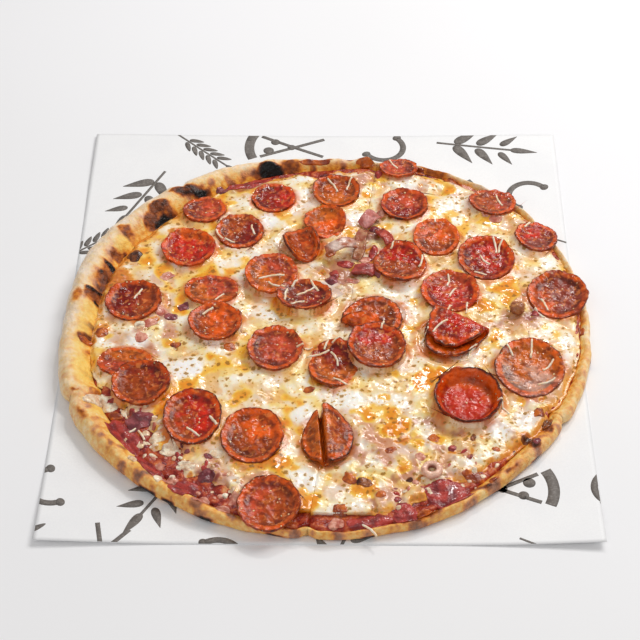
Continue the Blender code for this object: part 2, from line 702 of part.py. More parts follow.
def build():
    for leftover in bpy.data.objects[:]:
        bpy.data.objects.remove(leftover, do_unlink=True)

    paper = make_material("paper", (0.86, 0.86, 0.87), 0.6)
    dough = make_material("baked_dough", (0.82, 0.55, 0.28), 0.75)
    sauce = make_material("tomato_sauce", (0.42, 0.05, 0.03), 0.35)
    cheese = make_material("melted_cheese", (0.90, 0.74, 0.42), 0.35)
    sausage = make_material("pepperoni", (0.45, 0.08, 0.04), 0.3)
    strip = make_material("sausage_strip", (0.55, 0.18, 0.15), 0.4)
    browned = make_material("browned_meat", (0.25, 0.09, 0.05), 0.5)

    on_pizza = Matrix.Translation(Vector((*PIZZA_CENTRE, 0)) * MM)
    add_object("paper_sheet", paper_mesh(), paper)
    ground = []
    for number, start, end in slice_angles():
        ground.append(add_object(f"crust_slice_{number}", crust_mesh(start, end), dough, on_pizza))
        add_object(f"sauce_slice_{number}", sauce_mesh(start, end), sauce, on_pizza)
        ground.append(add_object(f"cheese_slice_{number}", cheese_mesh(start, end), cheese, on_pizza))
    bpy.context.view_layer.update()

    loose = []
    for number, (x, y, length, width, arch, turn) in enumerate(MEAT_STRIPS, 1):
        place = leaning(x, y, turn=radians(turn))
        loose.append(add_object(f"meat_strip_{number}", strip_mesh(length, width, arch), strip, place))
    x, y, across, height = NUGGET
    loose.append(add_object("meat_nugget", nugget_mesh(across, height), browned, leaning(x, y)))
    x, y, across, thick = RING_BIT
    loose.append(add_object("soft_ring", ring_mesh(across, thick), strip, leaning(x, y)))
    for top in PEPPERONI:
        place = leaning(top.x, top.y, radians(top.lean), radians(top.low))
        loose.append(add_object(f"pepperoni_{top.name}", pepperoni_mesh(top), sausage, place))
    for part in loose:
        bpy.context.view_layer.update()
        settle(part, ground)
        ground.append(part)
    bpy.context.view_layer.update()
    strew_cheese(ground, cheese)


build()
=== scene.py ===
"""The looks of a pepperoni pizza, cut into six and lying whole on its printed paper sheet.

Lengths are millimetres and places are measured from the pizza's centre, until a finished
piece is moved to its place on the sheet and turned to metres. Heights are above the floor.
"""

from collections import namedtuple
from math import cos, pi, radians, sin
from random import Random

import bmesh
import bpy
import numpy as np
from mathutils import Matrix, Vector, noise
from mathutils.bvhtree import BVHTree


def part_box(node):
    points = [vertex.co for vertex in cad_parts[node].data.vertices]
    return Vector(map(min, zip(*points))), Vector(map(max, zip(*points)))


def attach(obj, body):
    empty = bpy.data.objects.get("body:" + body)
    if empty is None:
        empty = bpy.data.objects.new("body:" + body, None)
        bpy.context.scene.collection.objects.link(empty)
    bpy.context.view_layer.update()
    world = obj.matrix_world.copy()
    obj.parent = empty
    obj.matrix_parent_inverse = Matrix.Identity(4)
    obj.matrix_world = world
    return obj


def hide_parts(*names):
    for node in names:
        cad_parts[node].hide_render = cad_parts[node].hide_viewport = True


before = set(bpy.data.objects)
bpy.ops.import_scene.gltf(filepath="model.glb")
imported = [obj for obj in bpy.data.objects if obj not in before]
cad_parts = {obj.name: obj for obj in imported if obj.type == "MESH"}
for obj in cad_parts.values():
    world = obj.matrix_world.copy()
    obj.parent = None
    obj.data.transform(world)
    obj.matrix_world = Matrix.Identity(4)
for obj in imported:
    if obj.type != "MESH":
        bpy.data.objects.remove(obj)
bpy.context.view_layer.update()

MM = 0.001

# Paper sheet, the same as its solid
PAPER_WIDTH = 305.0
PAPER_DEPTH = 352.0
PAPER_THICK = 0.3
PAPER_CENTRE = (-2.8, 0.0)
PAPER_CORNER_LIFT = {(-1, -1): 3.0, (1, -1): 4.0, (-1, 1): 1.5, (1, 1): 2.0}
PAPER_CELL = 2.5
PAPER_FLAT_RADIUS = 172

# Pizza as a whole, the same as its solids. A ring's 16 values stand for directions
# 22.5 degrees apart, anticlockwise from the right.
PIZZA_CENTRE = (-0.7, -14.0)
OUTLINE = (157, 160, 164.5, 161.5, 156, 160, 159, 159.5,
           156, 160.5, 160, 160, 160, 160, 156, 156.5)
RIM_WIDTH = (6, 4, 4, 5, 8, 16, 22, 23, 21, 20, 15, 9, 4, 6, 10, 9)
RIM_TOP = (7, 7, 7.5, 8.5, 9.5, 12, 14, 14.5, 13.5, 12.5, 11.5, 9, 6.5, 7.5, 8.5, 8)
SAUCE_SHOWN = (0.6, 0.6, 1, 2, 4, 2, 1, 0.5, 0.3, 2.5, 12, 11, 3, 8, 1, 0.6)
HUB = (16.0, 29.0)
CUT_ANGLES = tuple(radians(a) for a in (28.2, 82.4, 138.7, 209.2, 262.5, 318.7))
KERF = 0.08
NOTCH_DEPTH = 2.5
NOTCH_WIDTH = 4.0
DOUGH_BASE = 0.6
DOUGH_TOP = 4.0
SAUCE_BASE = 4.3
SAUCE_TOP = 5.4
CHEESE_BASE = 5.7
CHEESE_TOP = 8.1
CHEESE_CELL = 0.75
# Fineness of a slice's dough and sauce: a cell's width near the rim, and the rows under the
# dough, round its rim and in all
CRUST_CELL = 1.1
UNDER_ROWS = 2
RIM_ROWS = 42
CRUST_ROWS = 48
SAUCE_CELL = 1.2
SAUCE_ROWS = 26
# Bubbles of the rim: direction, inset from the edge, radius, height
BUBBLES = (
    (134, 16, 9, 3.5), (121, 13, 7, 2.5), (104, 9, 8, 3.0), (152, 18, 6, 2.5), (163, 20, 8, 2.0),
    (81, 5, 7, 3.0), (186, 14, 8, 1.5), (222, 9, 7, 1.2), (321, 7, 6, 1.5), (345, 3, 4, 1.5),
)

# Rounds of pepperoni: place, size, form and lean as in the solids, then the main colour,
# the colour of the side that the degrees point to, how far that side reaches and how dark
# the rim is
Round = namedtuple("Round", "name x y wide deep form lean low turn main second side reach rim")
ROUND_THICK = 1.6
# Form: edge lift, saddle lift and how far out the floor is flat. A folded round also has a
# stretch across the fold, the fold's place and radius and its angle on the near and on the
# far side, or a crease's place and the height of the two leaves beside it.
Form = namedtuple("Form", "edge saddle floor stretch place radius near far leaves",
                  defaults=(0.45, 1, 0, 0, 0, 0, 0))
FORMS = {
    "flat": Form(1.0, 0.3),
    "cup": Form(2.4, 0.5, 0.6),
    "deep": Form(7.0, 0.2, 0.66),
    "curl": Form(1.6, 2.0),
    "trough": Form(0.8, 0.4, 0.45, 1.0, 0, 9.0, 42, 58),
    "lip": Form(1.0, 0.3, 0.45, 1.24, 6, 2.4, 0, 165),
    "clam": Form(0.8, 0.3, 0.45, 1.60, -1.0, 2.5, 3, 181),
    "book": Form(0.4, 0.3, 0.45, 1.0, -3, 0, 0, 0, 10.0),
}
CREASE_WIDTH = 1.7
CREASE_WALL = 1.5
LEAF_SPREAD = (9.0, 17.0)
LEFT_LEAF = 0.72
LEAF_DEPTH = 2.0
ROUNDS = (
    Round("29", -116, -33, 32, 24, "flat", 3, 90, 0, "rose", "amber", 80, 0.5, 0.1),
    Round("23", 5, -35, 30, 37, "curl", 3, 250, 60, "dark", "amber", 270, 0.5, 0.6),
    Round("16", -13, 19, 33, 27, "cup", 3, 90, 0, "plum", "dark", 0, 0.4, 0.5),
    Round("08", -1, 91, 26, 29, "curl", 6, 270, 30, "orange", "amber", 90, 0.4, 0.3),
    Round("05", -77, 103, 27, 25, "flat", 3, 110, 0, "plum", "rose", 0, 0.6, 0.4),
    Round("01", -34, 115, 28, 28, "flat", 0, 270, 0, "dark", "red", 0, 0.5, 0.4),
    Round("02", 6, 121, 30, 30, "cup", 3, 270, 0, "brown", "amber", 270, 0.5, 0.7),
    Round("03", 49, 108, 30, 30, "cup", 0, 270, 0, "dark", "rose", 70, 0.6, 0.6),
    Round("34", 46, 144, 25, 20, "flat", 5, 80, 0, "plum", "rose", 200, 0.5, 0.4),
    Round("04", 105, 111, 30, 27, "flat", 6, 50, 0, "brown", "rose", 20, 0.4, 0.5),
    Round("06", -85, 65, 33, 33, "cup", 3, 270, 0, "orange", "red", 250, 0.7, 0.3),
    Round("07", -54, 82, 30, 31, "flat", 2, 270, 0, "brown", "dark", 320, 0.4, 0.4),
    Round("09", -16, 69, 27, 30, "trough", 0, 270, 20, "orange", "brown", 200, 0.5, 0.7),
    Round("10", 68, 76, 29, 32, "flat", 4, 270, 0, "orange", "brown", 260, 0.4, 0.3),
    Round("11", 45, 51, 32, 34, "curl", 3, 270, 70, "red", "brown", 250, 0.5, 0.7),
    Round("12", 98, 57, 35, 37, "cup", 5, 270, 0, "red", "dark", 230, 0.5, 0.6),
    Round("13", 130, 78, 26, 28, "flat", 8, 20, 0, "red", "plum", 300, 0.5, 0.7),
    Round("14", -33, 39, 32, 33, "flat", 4, 270, 0, "rose", "amber", 240, 0.5, 0.3),
    Round("15", -69, 28, 33, 27, "flat", 3, 90, 0, "rose", "amber", 230, 0.4, 0.3),
    Round("17", -115, 18, 34, 33, "cup", 4, 240, 0, "dark", "brown", 330, 0.5, 0.5),
    Round("18", 75, 27, 35, 35, "cup", 2, 270, 0, "red", "rose", 90, 0.3, 0.4),
    Round("19", 139, 24, 36, 38, "cup", 6, 250, 0, "plum", "orange", 200, 0.3, 0.6),
    Round("20", -65, -3, 32, 31, "cup", 3, 270, 0, "orange", "brown", 200, 0.4, 0.6),
    Round("21", 29, 8, 36, 31, "lip", 2, 270, 250, "brown", "orange", 200, 0.4, 0.8),
    Round("22", -29, -24, 32, 34, "cup", 4, 270, 0, "plum", "rose", 20, 0.6, 0.5),
    Round("24", 30, -24, 34, 36, "cup", 5, 340, 0, "red", "brown", 270, 0.6, 0.8),
    Round("25", 72, -13, 36, 38, "clam", 2, 270, 58, "red", "brown", 220, 0.4, 0.8),
    Round("26", 118, -38, 40, 44, "cup", 6, 270, 0, "amber", "lilac", 265, 0.45, 0.7),
    Round("27", 81, -64, 38, 41, "deep", 3, 270, 0, "red", "orange", 60, 0.35, 1.0),
    Round("28", -105, -53, 34, 33, "cup", 6, 240, 0, "brown", "dark", 60, 0.4, 0.6),
    Round("30", -74, -79, 33, 40, "cup", 5, 270, 0, "brown", "red", 10, 0.6, 0.8),
    Round("31", -40, -92, 35, 40, "cup", 4, 270, 0, "orange", "brown", 240, 0.55, 0.7),
    Round("32", 2, -94, 29, 37, "book", 0, 270, 5, "amber", "brown", 0, 0.5, 0.8),
    Round("33", -29, -142, 34, 37, "cup", 5, 262, 0, "brown", "rose", 160, 0.5, 0.7),
)
SAUSAGE_COLOURS = {
    "red": "c62204",
    "dark": "8c1602",
    "orange": "e65a04",
    "amber": "d0620e",
    "brown": "aa440e",
    "rose": "c84a28",
    "plum": "923a26",
    "lilac": "d49c84",
}
ROUND_CELLS = 56
ROUND_BEVEL = 0.35
# How far a round is pressed into the cheese, and the height of each one's middle, which is
# found when it is made
SINK = 0.9
SEATS = {}

# Meat: a strip's place, length, width, arch and turn, the nugget's place, width and height,
# and the ring's place, width and thickness
MEAT_STRIPS = (
    (21, 69, 28, 6, 3.0, 76), (9, 61, 20, 8, 3.5, 12), (23, 45, 14, 9, 2.0, 160),
    (27, 93, 15, 10, 3.5, 40), (36, 77, 15, 6, 2.5, 110),
)
STRIP_THICK = 1.5
STRIP_COLOURS = (("c08a64", "9c4a2c"), ("e3c9bb", "b0603c"), ("c0524a", "8f2f28"),
                 ("dc9a94", "c0685e"), ("9c2c20", "c4503c"))
NUGGET = (114, 10, 9, 7)
RING_BIT = (59, -117, 12, 4)

# Patches: x, y, width, depth, turn in degrees, strength
CHAR_PATCHES = (
    (-99, 92, 21, 15, 15, 1.0), (-91, 95, 6, 8, 0, 1.0), (-98, 86, 4, 4, 0, 1.0),
    (-37, 143, 19, 10, 8, 1.0), (-80, 118, 9, 8, 20, 0.95), (-66, 123, 6, 5, 0, 0.85),
    (-119, 61, 7, 7, 0, 0.85), (-129, 47, 18, 4, -38, 1.0), (-137, 42, 5, 3, 0, 0.8),
    (-139, 26, 12, 3.5, 4, 0.85), (-138, 17, 3, 3, 0, 1.0), (-133, 18, 3, 3, 0, 1.0),
    (-109, 37, 4, 4, 0, 1.0), (26, 155, 12, 6, 0, 0.8),
)
EDGE_CHAR_PATCHES = (
    (-96, -127, 13, 6, -38, 1.0), (-84, -137, 9, 6, -30, 1.0), (-62, -147, 12, 5, -15, 0.95),
    (-30, -158, 20, 3, -5, 0.8), (25, -158, 12, 3, 0, 0.9), (118, -103, 8, 4, 45, 0.7),
    (156, -27, 5, 7, 0, 0.9),
)
BROWN_PATCHES = (
    (-89, 119, 24, 9, 12, 0.72), (-106, 102, 17, 10, 35, 0.66), (-110, 92, 9, 14, -20, 0.55),
    (-92, 85, 18, 8, 10, 0.5), (-24, 148, 14, 8, 0, 0.5), (-42, 136, 18, 6, 30, 0.55),
    (-125, 79, 12, 10, -40, 0.44), (-129, 59, 10, 8, 30, 0.42), (-119, 60, 12, 12, 0, 0.45),
    (-129, 38, 24, 24, -20, 0.52), (-138, 22, 18, 10, 0, 0.5), (-151, 20, 10, 14, 0, 0.36),
    (-140, -14, 13, 10, 0, 0.5), (-132, -4, 12, 12, 0, 0.46), (-147, -58, 16, 3, -10, 0.6),
    (-139, -76, 12, 8, -30, 0.42), (-131, -93, 9, 10, -30, 0.45), (-121, -106, 10, 7, -45, 0.4),
    (-106, -121, 12, 5, -45, 0.4), (50, -148, 34, 6, 15, 0.4), (113, -91, 9, 8, -30, 0.6),
    (125, -83, 8, 8, 0, 0.5), (117, -96, 6, 8, 0, 0.66), (105, -114, 14, 6, 40, 0.45),
    (84, -119, 9, 7, 0, 0.55), (92, -126, 11, 6, 20, 0.45), (70, 146, 22, 11, -25, 0.4),
    (10, 157, 52, 5, -2, 0.6), (60, 153, 22, 5, -20, 0.5),
)
OIL_PATCHES = (
    (57, -45, 22, 12, 60, 1.0), (66, -41, 12, 12, 0, 0.9), (40, -84, 20, 13, 30, 0.9),
    (34, -60, 8, 7, 0, 0.6), (-47, -59, 12, 9, 0, 0.6), (-47, -24, 12, 14, 0, 0.5),
    (-60, -31, 10, 8, 0, 0.5), (-89, -66, 10, 26, -25, 0.8), (-25, -88, 8, 24, -10, 0.6),
    (-40, -113, 26, 6, 0, 0.5), (-11, -136, 8, 18, 0, 0.6), (22, -128, 16, 16, 0, 0.7),
    (-4, -48, 12, 9, 0, 0.6), (63, -92, 9, 9, 0, 0.6), (94, 16, 16, 14, 0, 0.7),
    (85, 88, 8, 22, -20, 0.5), (102, 94, 18, 8, 0, 0.5), (79, 102, 10, 8, 0, 0.4),
    (-64, 62, 16, 12, 0, 0.35), (-75, 48, 18, 8, 0, 0.35), (36, -2, 16, 8, 0, 0.5),
    (44, -8, 10, 12, 0, 0.4), (-107, -30, 10, 10, 0, 0.3), (66, 142, 18, 8, -20, 0.4),
)
RED_PATCHES = (
    (127, 13, 16, 10, 60, 1.0), (122, 6, 12, 8, 0, 0.8), (-53, 128, 28, 11, 25, 0.8),
    (28, 80, 9, 16, 70, 0.8), (15, 45, 20, 10, 0, 0.6), (-108, -92, 26, 13, -50, 0.7),
    (70, -131, 28, 16, 15, 0.9), (30, 148, 16, 10, 0, 0.6), (-100, 8, 14, 12, 0, 0.35),
    (-83, 16, 10, 8, 0, 0.3), (-25, 82, 12, 8, 0, 0.35), (10, 38, 14, 8, 0, 0.5),
)
LILAC_PATCHES = (
    (-100, 40, 16, 14, 0, 0.6), (-92, 14, 18, 16, 0, 0.6), (-120, -12, 20, 14, 0, 0.6),
    (-112, -24, 18, 10, 0, 0.5), (-92, -100, 30, 14, -40, 0.6), (-62, -122, 26, 16, 0, 0.5),
    (95, 132, 16, 10, -20, 0.5), (114, 93, 20, 12, 0, 0.6), (28, 96, 14, 10, 0, 0.6),
    (60, 121, 10, 6, 0, 0.4), (78, -98, 16, 14, 0, 0.5), (66, -108, 14, 14, 0, 0.5),
    (45, -132, 26, 12, 0, 0.4), (138, -57, 12, 16, 30, 0.5), (0, 16, 14, 16, 0, 0.5),
    (100, 30, 14, 12, 0, 0.4), (92, 6, 16, 8, 0, 0.4), (-44, -132, 12, 20, 0, 0.4),
    (-45, 5, 20, 10, 0, 0.35),
)
# White cheese, and painted highlights where the cheese is wet
WHITE_AND_HIGHLIGHT_PATCHES = (
    (-36, 94, 14, 18, 0, 0.9), (-52, 112, 12, 12, 0, 0.6), (-16, 139, 22, 12, 0, 0.9),
    (-104, 64, 12, 16, 0, 0.6), (-60, 55, 18, 14, 0, 0.7), (-45, 63, 14, 14, 0, 0.6),
    (12, 144, 26, 12, 0, 0.8), (56, 131, 26, 12, 0, 0.6), (74, 110, 18, 18, 30, 0.7),
    (18, 98, 12, 16, 0, 0.8), (45, 31, 26, 12, 20, 0.6), (104, 78, 12, 8, 0, 0.5),
    (-110, -15, 16, 14, 0, 0.9), (-80, -38, 24, 18, 30, 1.0), (-62, -22, 14, 12, 0, 0.5),
    (-12, -74, 16, 14, 0, 0.7), (-10, -124, 16, 22, 0, 0.9), (-131, -44, 12, 12, 0, 0.5),
    (12, -62, 24, 16, 0, 0.8), (38, -62, 22, 12, 0, 0.6), (114, -78, 18, 18, -30, 0.9),
    (99, -88, 14, 14, 0, 0.7), (44, -102, 18, 18, 0, 0.6), (76, -126, 12, 10, 0, 0.6),
    (96, -106, 16, 14, 0, 0.6), (6, -132, 12, 14, 0, 0.6), (146, -20, 14, 20, 0, 0.6),
    (116, -58, 14, 10, 0, 0.6), (-19, -100, 12, 14, 0, 0.5),
)
LUMPY_PATCHES = (
    (62, -104, 130, 78, 15, 1.0), (-88, -108, 90, 40, -45, 1.0), (-108, -6, 46, 60, 0, 0.8),
    (40, 134, 110, 40, -10, 0.7), (104, 14, 80, 40, 0, 0.7), (14, 60, 50, 60, 0, 0.8),
    (-52, -118, 50, 40, 0, 0.9), (130, -60, 44, 60, 0, 0.7),
)

# How golden the rim's inner half and its outer wall are, by direction, and where melted
# cheese has run onto it
WARM_RIM = (0.3, 0.3, 0.6, 1, 1, 1, 1, 1, 1, 0.8, 0.9, 0.9, 0.7, 0.9, 1, 0.4)
GOLDEN_WALL = (0.5, 0.3, 0.2, 0.2, 0.2, 0.1, 0, 0, 0.1, 0.6, 1, 1, 1, 1, 0.9, 0.8)
CHEESY_RIM = (
    (-144, -12, 12, 34, -4, 0.55), (-140, -40, 16, 26, 10, 0.65), (-139, 8, 12, 16, 0, 0.5),
    (-126, 70, 9, 12, -40, 0.5), (-127, -72, 10, 9, 0, 0.45), (-116, -94, 6, 14, 30, 0.5),
    (-102, -116, 5, 22, 42, 0.7), (-84, -134, 4, 14, 50, 0.6), (104, -102, 5, 20, -40, 0.5),
    (112, -88, 6, 10, -30, 0.5),
)

# How far the cheese is browned along its edge, by direction
BAKED_EDGE = (0.1, 0.1, 0.1, 0.2, 0.3, 0.35, 0.4, 0.4, 0.25, 0.1, 0.1, 0.1, 0.3, 0.35, 0.45, 0.3)

# Small bits half sunk in the cheese and sauce: x, y, width, depth, height, turn, colour
BITS = (
    (-113, -89, 30, 13, 3.0, -49, "ham_red"), (-104, -79, 16, 13, 3.5, 20, "plum"),
    (-96, -114, 26, 8, 2.5, -50, "ham_red"), (-76, -129, 15, 15, 3.0, 0, "ham_red"),
    (-64, -119, 10, 9, 3.0, 0, "plum"), (-84, -123, 9, 7, 2.5, 40, "pink"),
    (-66, -137, 9, 7, 2.5, 0, "pink"), (-54, -143, 9, 6, 2.5, -30, "pink"),
    (-48, -136, 7, 9, 2.5, 0, "pink"), (-111, -92, 7, 4, 3.0, 25, "nut"),
    (-105, -109, 7, 5, 3.0, -60, "nut"), (-90, -123, 5, 7, 3.0, 0, "nut"),
    (-90, -112, 6, 5, 3.0, 0, "pink"), (-113, -72, 4, 6, 3.0, 0, "nut"),
    (-129, -62, 13, 9, 3.5, 25, "cream"), (-122, -67, 9, 7, 3.0, -20, "cream"),
    (-134, -66, 7, 5, 3.0, 0, "nut"), (-118, -74, 9, 6, 3.0, -30, "rust"),
    (-86, -100, 10, 8, 2.5, 30, "cream"), (-94, -92, 9, 7, 2.5, 60, "cream"),
    (-76, -112, 12, 7, 2.5, -20, "cream"), (-60, -104, 8, 6, 2.5, 0, "cream"),
    (69, -133, 29, 22, 2.4, -25, "ham_red"), (44, -146, 14, 13, 2.5, 40, "ham_red"),
    (24, -151, 26, 10, 2.2, 4, "ham_red"), (7, -152, 9, 8, 2.2, 0, "pink"),
    (56, -146, 14, 6, 2.5, 12, "rust"), (82, -119, 12, 7, 2.5, -15, "rust"),
    (93, -122, 6, 6, 2.5, 40, "rust"), (53, -106, 6, 5, 1.4, 0, "pink"),
    (71, -99, 5, 4, 1.4, 0, "ham_red"), (61, -91, 8, 7, 2.0, 0, "rust"),
    (95, -100, 5, 4, 2.0, 0, "rust"), (14, -122, 6, 8, 2.0, 30, "rust"),
    (22, -125, 9, 6, 2.0, -20, "crumb"), (31, -133, 6, 5, 2.0, 0, "rust"),
    (37, -101, 7, 5, 1.8, 40, "rust"), (47, -122, 4, 3, 1.8, 0, "crumb"),
    (9, -144, 8, 9, 2.2, 0, "rust"), (113, -92, 8, 5, 3.0, 0, "crumb"),
    (118, -94, 5, 7, 2.5, 20, "plum"), (125, -79, 5, 9, 3.0, -20, "crumb"),
    (121, -72, 7, 7, 2.5, 0, "rust"), (83, -91, 3, 7, 2.5, -20, "crumb"),
    (10, 73, 10, 7, 3.0, 10, "ham_red"), (3, 63, 10, 5, 2.5, 60, "rust"),
    (12, 52, 12, 6, 3.0, -10, "ham_red"), (5, 44, 6, 8, 3.0, 20, "ham_red"),
    (3, 38, 7, 9, 3.0, 30, "plum"), (16, 38, 9, 5, 2.5, 0, "pink"),
    (24, 56, 9, 7, 3.0, 30, "pink"), (29, 63, 5, 16, 3.0, -15, "ham_red"),
    (30, 45, 5, 14, 2.5, 25, "plum"), (33, 100, 9, 6, 2.5, 30, "pink"),
    (30, 86, 7, 6, 2.5, 0, "plum"), (9, 31, 7, 4, 2.5, 0, "nut"), (115, 13, 7, 10, 2.5, 0, "rust"),
    (128, 11, 14, 6, 1.8, 30, "ham_red"), (-53, 130, 30, 10, 3.0, 22, "ham_red"),
    (-67, 124, 9, 8, 3.5, 30, "plum"), (-7, 152, 22, 5, 2.5, 4, "rust"),
    (26, 153, 14, 8, 4.0, 0, "rust"), (57, 147, 14, 6, 3.0, -25, "rust"),
    (33, 140, 5, 9, 2.5, 0, "ham_red"), (79, 135, 9, 7, 2.5, -30, "rust"),
    (90, 129, 8, 6, 2.5, -30, "pink"), (96, 124, 7, 6, 2.0, 0, "pink"),
    (106, 96, 9, 6, 2.0, 0, "pink"), (100, 100, 6, 6, 2.0, 0, "pink"),
    (-118, 60, 10, 9, 4.0, 40, "crumb"), (-116, -24, 9, 7, 2.5, 0, "pink"),
    (-108, -12, 8, 8, 2.0, 0, "pink"), (-104, 0, 9, 6, 2.0, 20, "pink"),
    (-92, 6, 8, 6, 2.0, 0, "plum"), (-88, -18, 7, 5, 2.0, 0, "rust"),
    (-97, 42, 9, 6, 2.0, 30, "pink"), (-56, -20, 7, 6, 2.0, 20, "rust"),
    (-9, -54, 7, 5, 2.0, 0, "rust"), (-64, -106, 5, 4, 2.5, 0, "plum"),
    (151, -3, 4, 8, 2.5, 0, "rust"), (-132, -8, 7, 8, 3.0, 0, "rust"),
    (-141, -16, 8, 5, 3.0, 0, "rust"), (-85, 15, 8, 6, 2.5, 40, "plum"),
    (-98, 10, 9, 7, 2.5, -20, "pink"), (-110, -2, 8, 6, 2.5, 30, "cream"),
)
BIT_COLOURS = {
    "ham_red": ("bc4036", "7e2226"),
    "pink": ("e6a890", "c06450"),
    "plum": ("a05054", "6a2630"),
    "rust": ("d06a1c", "8a3410"),
    "crumb": ("9a5420", "431c0c"),
    "nut": ("fae8cc", "e8c496"),
    "cream": ("fbf0d6", "e6c29c"),
}

# Grated cheese: x, y, direction in degrees, length
SHRED_RADIUS = 0.66
SHREDS = (
    (-46, 83, 105, 9), (-67, 78, 120, 9), (-60, 73, 150, 7), (-33, 36, 12, 16), (-30, 28, 150, 12),
    (-18, 31, 60, 10), (-24, 19, 85, 10), (-12, 23, 35, 13), (-7, 28, 120, 10), (-17, 13, 20, 9),
    (-3, 33, 150, 10), (-113, 24, 60, 9), (-70, 6, 40, 8), (-64, 21, 50, 8), (4, 127, 120, 13),
    (14, 128, 70, 11), (42, 149, 120, 13), (109, 113, 105, 12), (68, 93, 85, 9), (41, 67, 75, 10),
    (58, 52, 75, 9), (104, 68, 98, 12), (107, 67, 72, 10), (97, 56, 130, 9), (94, 45, 160, 8),
    (126, 90, 60, 9), (74, 37, 85, 9), (76, 27, 60, 8), (73, 12, 70, 9), (84, 13, 85, 9),
    (131, 17, 110, 10), (127, 9, 130, 9), (-44, -14, 75, 9), (-12, -22, 20, 10), (-4, -27, 20, 14),
    (1, -19, 70, 10), (6, -31, 110, 12), (8, -17, 30, 10), (9, -49, 150, 9), (-62, -82, 120, 9),
    (-73, -89, 140, 10), (-106, -84, 50, 9), (-102, -89, 120, 8), (34, -6, 70, 9),
    (67, -8, 45, 13), (85, -23, 60, 11), (82, -28, 30, 8), (106, -23, 120, 13), (120, -18, 88, 24),
    (129, -36, 50, 10), (127, -48, 20, 11), (101, -70, 140, 9), (25, -157, 135, 11),
    (-113, -73, 120, 8), (58, -12, 60, 8),
)

# Printed pattern: distance between motifs along and between rows, place of the first
PRINT_PITCH = (62.0, 50.0)
PRINT_START = (8.0, 14.0)
INK_THICK = 0.05
# The pizza hides the print within this radius
PRINT_HIDDEN_RADIUS = 125

# Camera
CAMERA_PLACE = (0.00845, -0.8143, 0.7710)
CAMERA_PITCH = radians(43.5)
CAMERA_YAW = radians(-0.89)
CAMERA_ROLL = radians(-0.41)
CAMERA_LENS = 105.03
CAMERA_SENSOR = 36.0


def smooth(low, high, value):
    t = np.clip((value - low) / (high - low), 0, 1)
    return t * t * (3 - 2 * t)


def blend(start, end, share):
    return start + (end - start) * share


def turned(x, y, turn):
    """Places turned about the origin, by degrees."""
    c, s = cos(radians(turn)), sin(radians(turn))
    return x * c - y * s, x * s + y * c


def wander(x, y, wavelength, seed):
    """Noise from about -1 to 1 at each point, the same each run."""
    points = zip((x / wavelength).tolist(), (y / wavelength).tolist())
    return np.array([noise.noise((a, b, seed)) for a, b in points])


def cubic(a, b, c, d, f):
    return b + 0.5 * f * (c - a + f * (2 * a - 5 * b + 4 * c - d + f * (3 * (b - c) + d - a)))


def ring_value(values, direction):
    """Smooth closed curve through values evenly spread round a turn."""
    values = np.array(values, float)
    position = (direction / (2 * pi)) % 1.0 * len(values)
    first = np.floor(position).astype(int)
    a, b, c, d = (values[(first + k) % len(values)] for k in (-1, 0, 1, 2))
    return cubic(a, b, c, d, position - first)


def plain_radius(direction):
    ragged = wander(np.cos(direction) * 158, np.sin(direction) * 158, 14, 3.7)
    return ring_value(OUTLINE, direction) + 0.9 * ragged


def distance_to_edge(start, angle, radius_at):
    """How far the pizza's edge is from start in each direction."""
    near, far = np.full(angle.shape, 60.0), np.full(angle.shape, 230.0)
    for _ in range(24):
        middle = (near + far) / 2
        x, y = start[0] + np.cos(angle) * middle, start[1] + np.sin(angle) * middle
        inside = np.hypot(x, y) < radius_at(np.arctan2(y, x))
        near, far = np.where(inside, middle, near), np.where(inside, far, middle)
    return near


def cut_ends():
    angles = np.array(CUT_ANGLES)
    reach = distance_to_edge(HUB, angles, plain_radius)
    return list(zip(HUB[0] + np.cos(angles) * reach, HUB[1] + np.sin(angles) * reach))


CUT_ENDS = cut_ends()


def edge_radius(direction):
    """Radius of the pizza's edge, with the small notch that each cut leaves."""
    radius = plain_radius(direction)
    x, y = np.cos(direction) * radius, np.sin(direction) * radius
    for end_x, end_y in CUT_ENDS:
        gap = np.hypot(x - end_x, y - end_y)
        radius = radius - NOTCH_DEPTH * np.exp(-(gap / NOTCH_WIDTH) ** 2)
    return radius


def edge_table():
    """The edge's radius every tenth of a degree, to be read between."""
    directions = np.linspace(-pi, pi, 3601)
    return directions, edge_radius(directions)


EDGE_TABLE = edge_table()


def edge_at(direction):
    return np.interp((direction + pi) % (2 * pi) - pi, *EDGE_TABLE)


def slice_angles():
    for index, start in enumerate(CUT_ANGLES):
        end = CUT_ANGLES[(index + 1) % len(CUT_ANGLES)]
        yield index + 1, start, end if end > start else end + 2 * pi


def tip_of(start, end):
    middle = (start + end) / 2
    back = KERF / 2 / sin((end - start) / 2)
    return HUB[0] + cos(middle) * back, HUB[1] + sin(middle) * back


def patch_mask(x, y, patches, ragged=1.0):
    """Strength of the soft ragged patches at each point."""
    off_x = x + ragged * (1.8 * wander(x, y, 6, 3.1) + 1.2 * wander(x, y, 2.6, 5.5))
    off_y = y + ragged * (1.8 * wander(x, y, 6, 8.3) + 1.2 * wander(x, y, 2.6, 1.7))
    mask = np.zeros(x.shape)
    for px, py, wide, deep, turn, strength in patches:
        u, v = turned(off_x - px, off_y - py, -turn)
        share = np.hypot(u / (wide / 2), v / (deep / 2))
        mask = np.maximum(mask, strength * smooth(1.3, 0.55, share))
    return mask


def vertex_places(bm):
    return np.array([v.co[:] for v in bm.verts]).T


def move_vertices(bm, x, y, z):
    for v, place in zip(bm.verts, zip(x.tolist(), y.tolist(), z.tolist())):
        v.co = place


def unit_grid(columns, rows):
    """A flat sheet of quads and where each corner lies across and along it, 0 to 1."""
    bm = bmesh.new()
    bmesh.ops.create_grid(bm, x_segments=columns, y_segments=rows, size=0.5)
    across, along, _ = vertex_places(bm)
    return bm, across + 0.5, along + 0.5


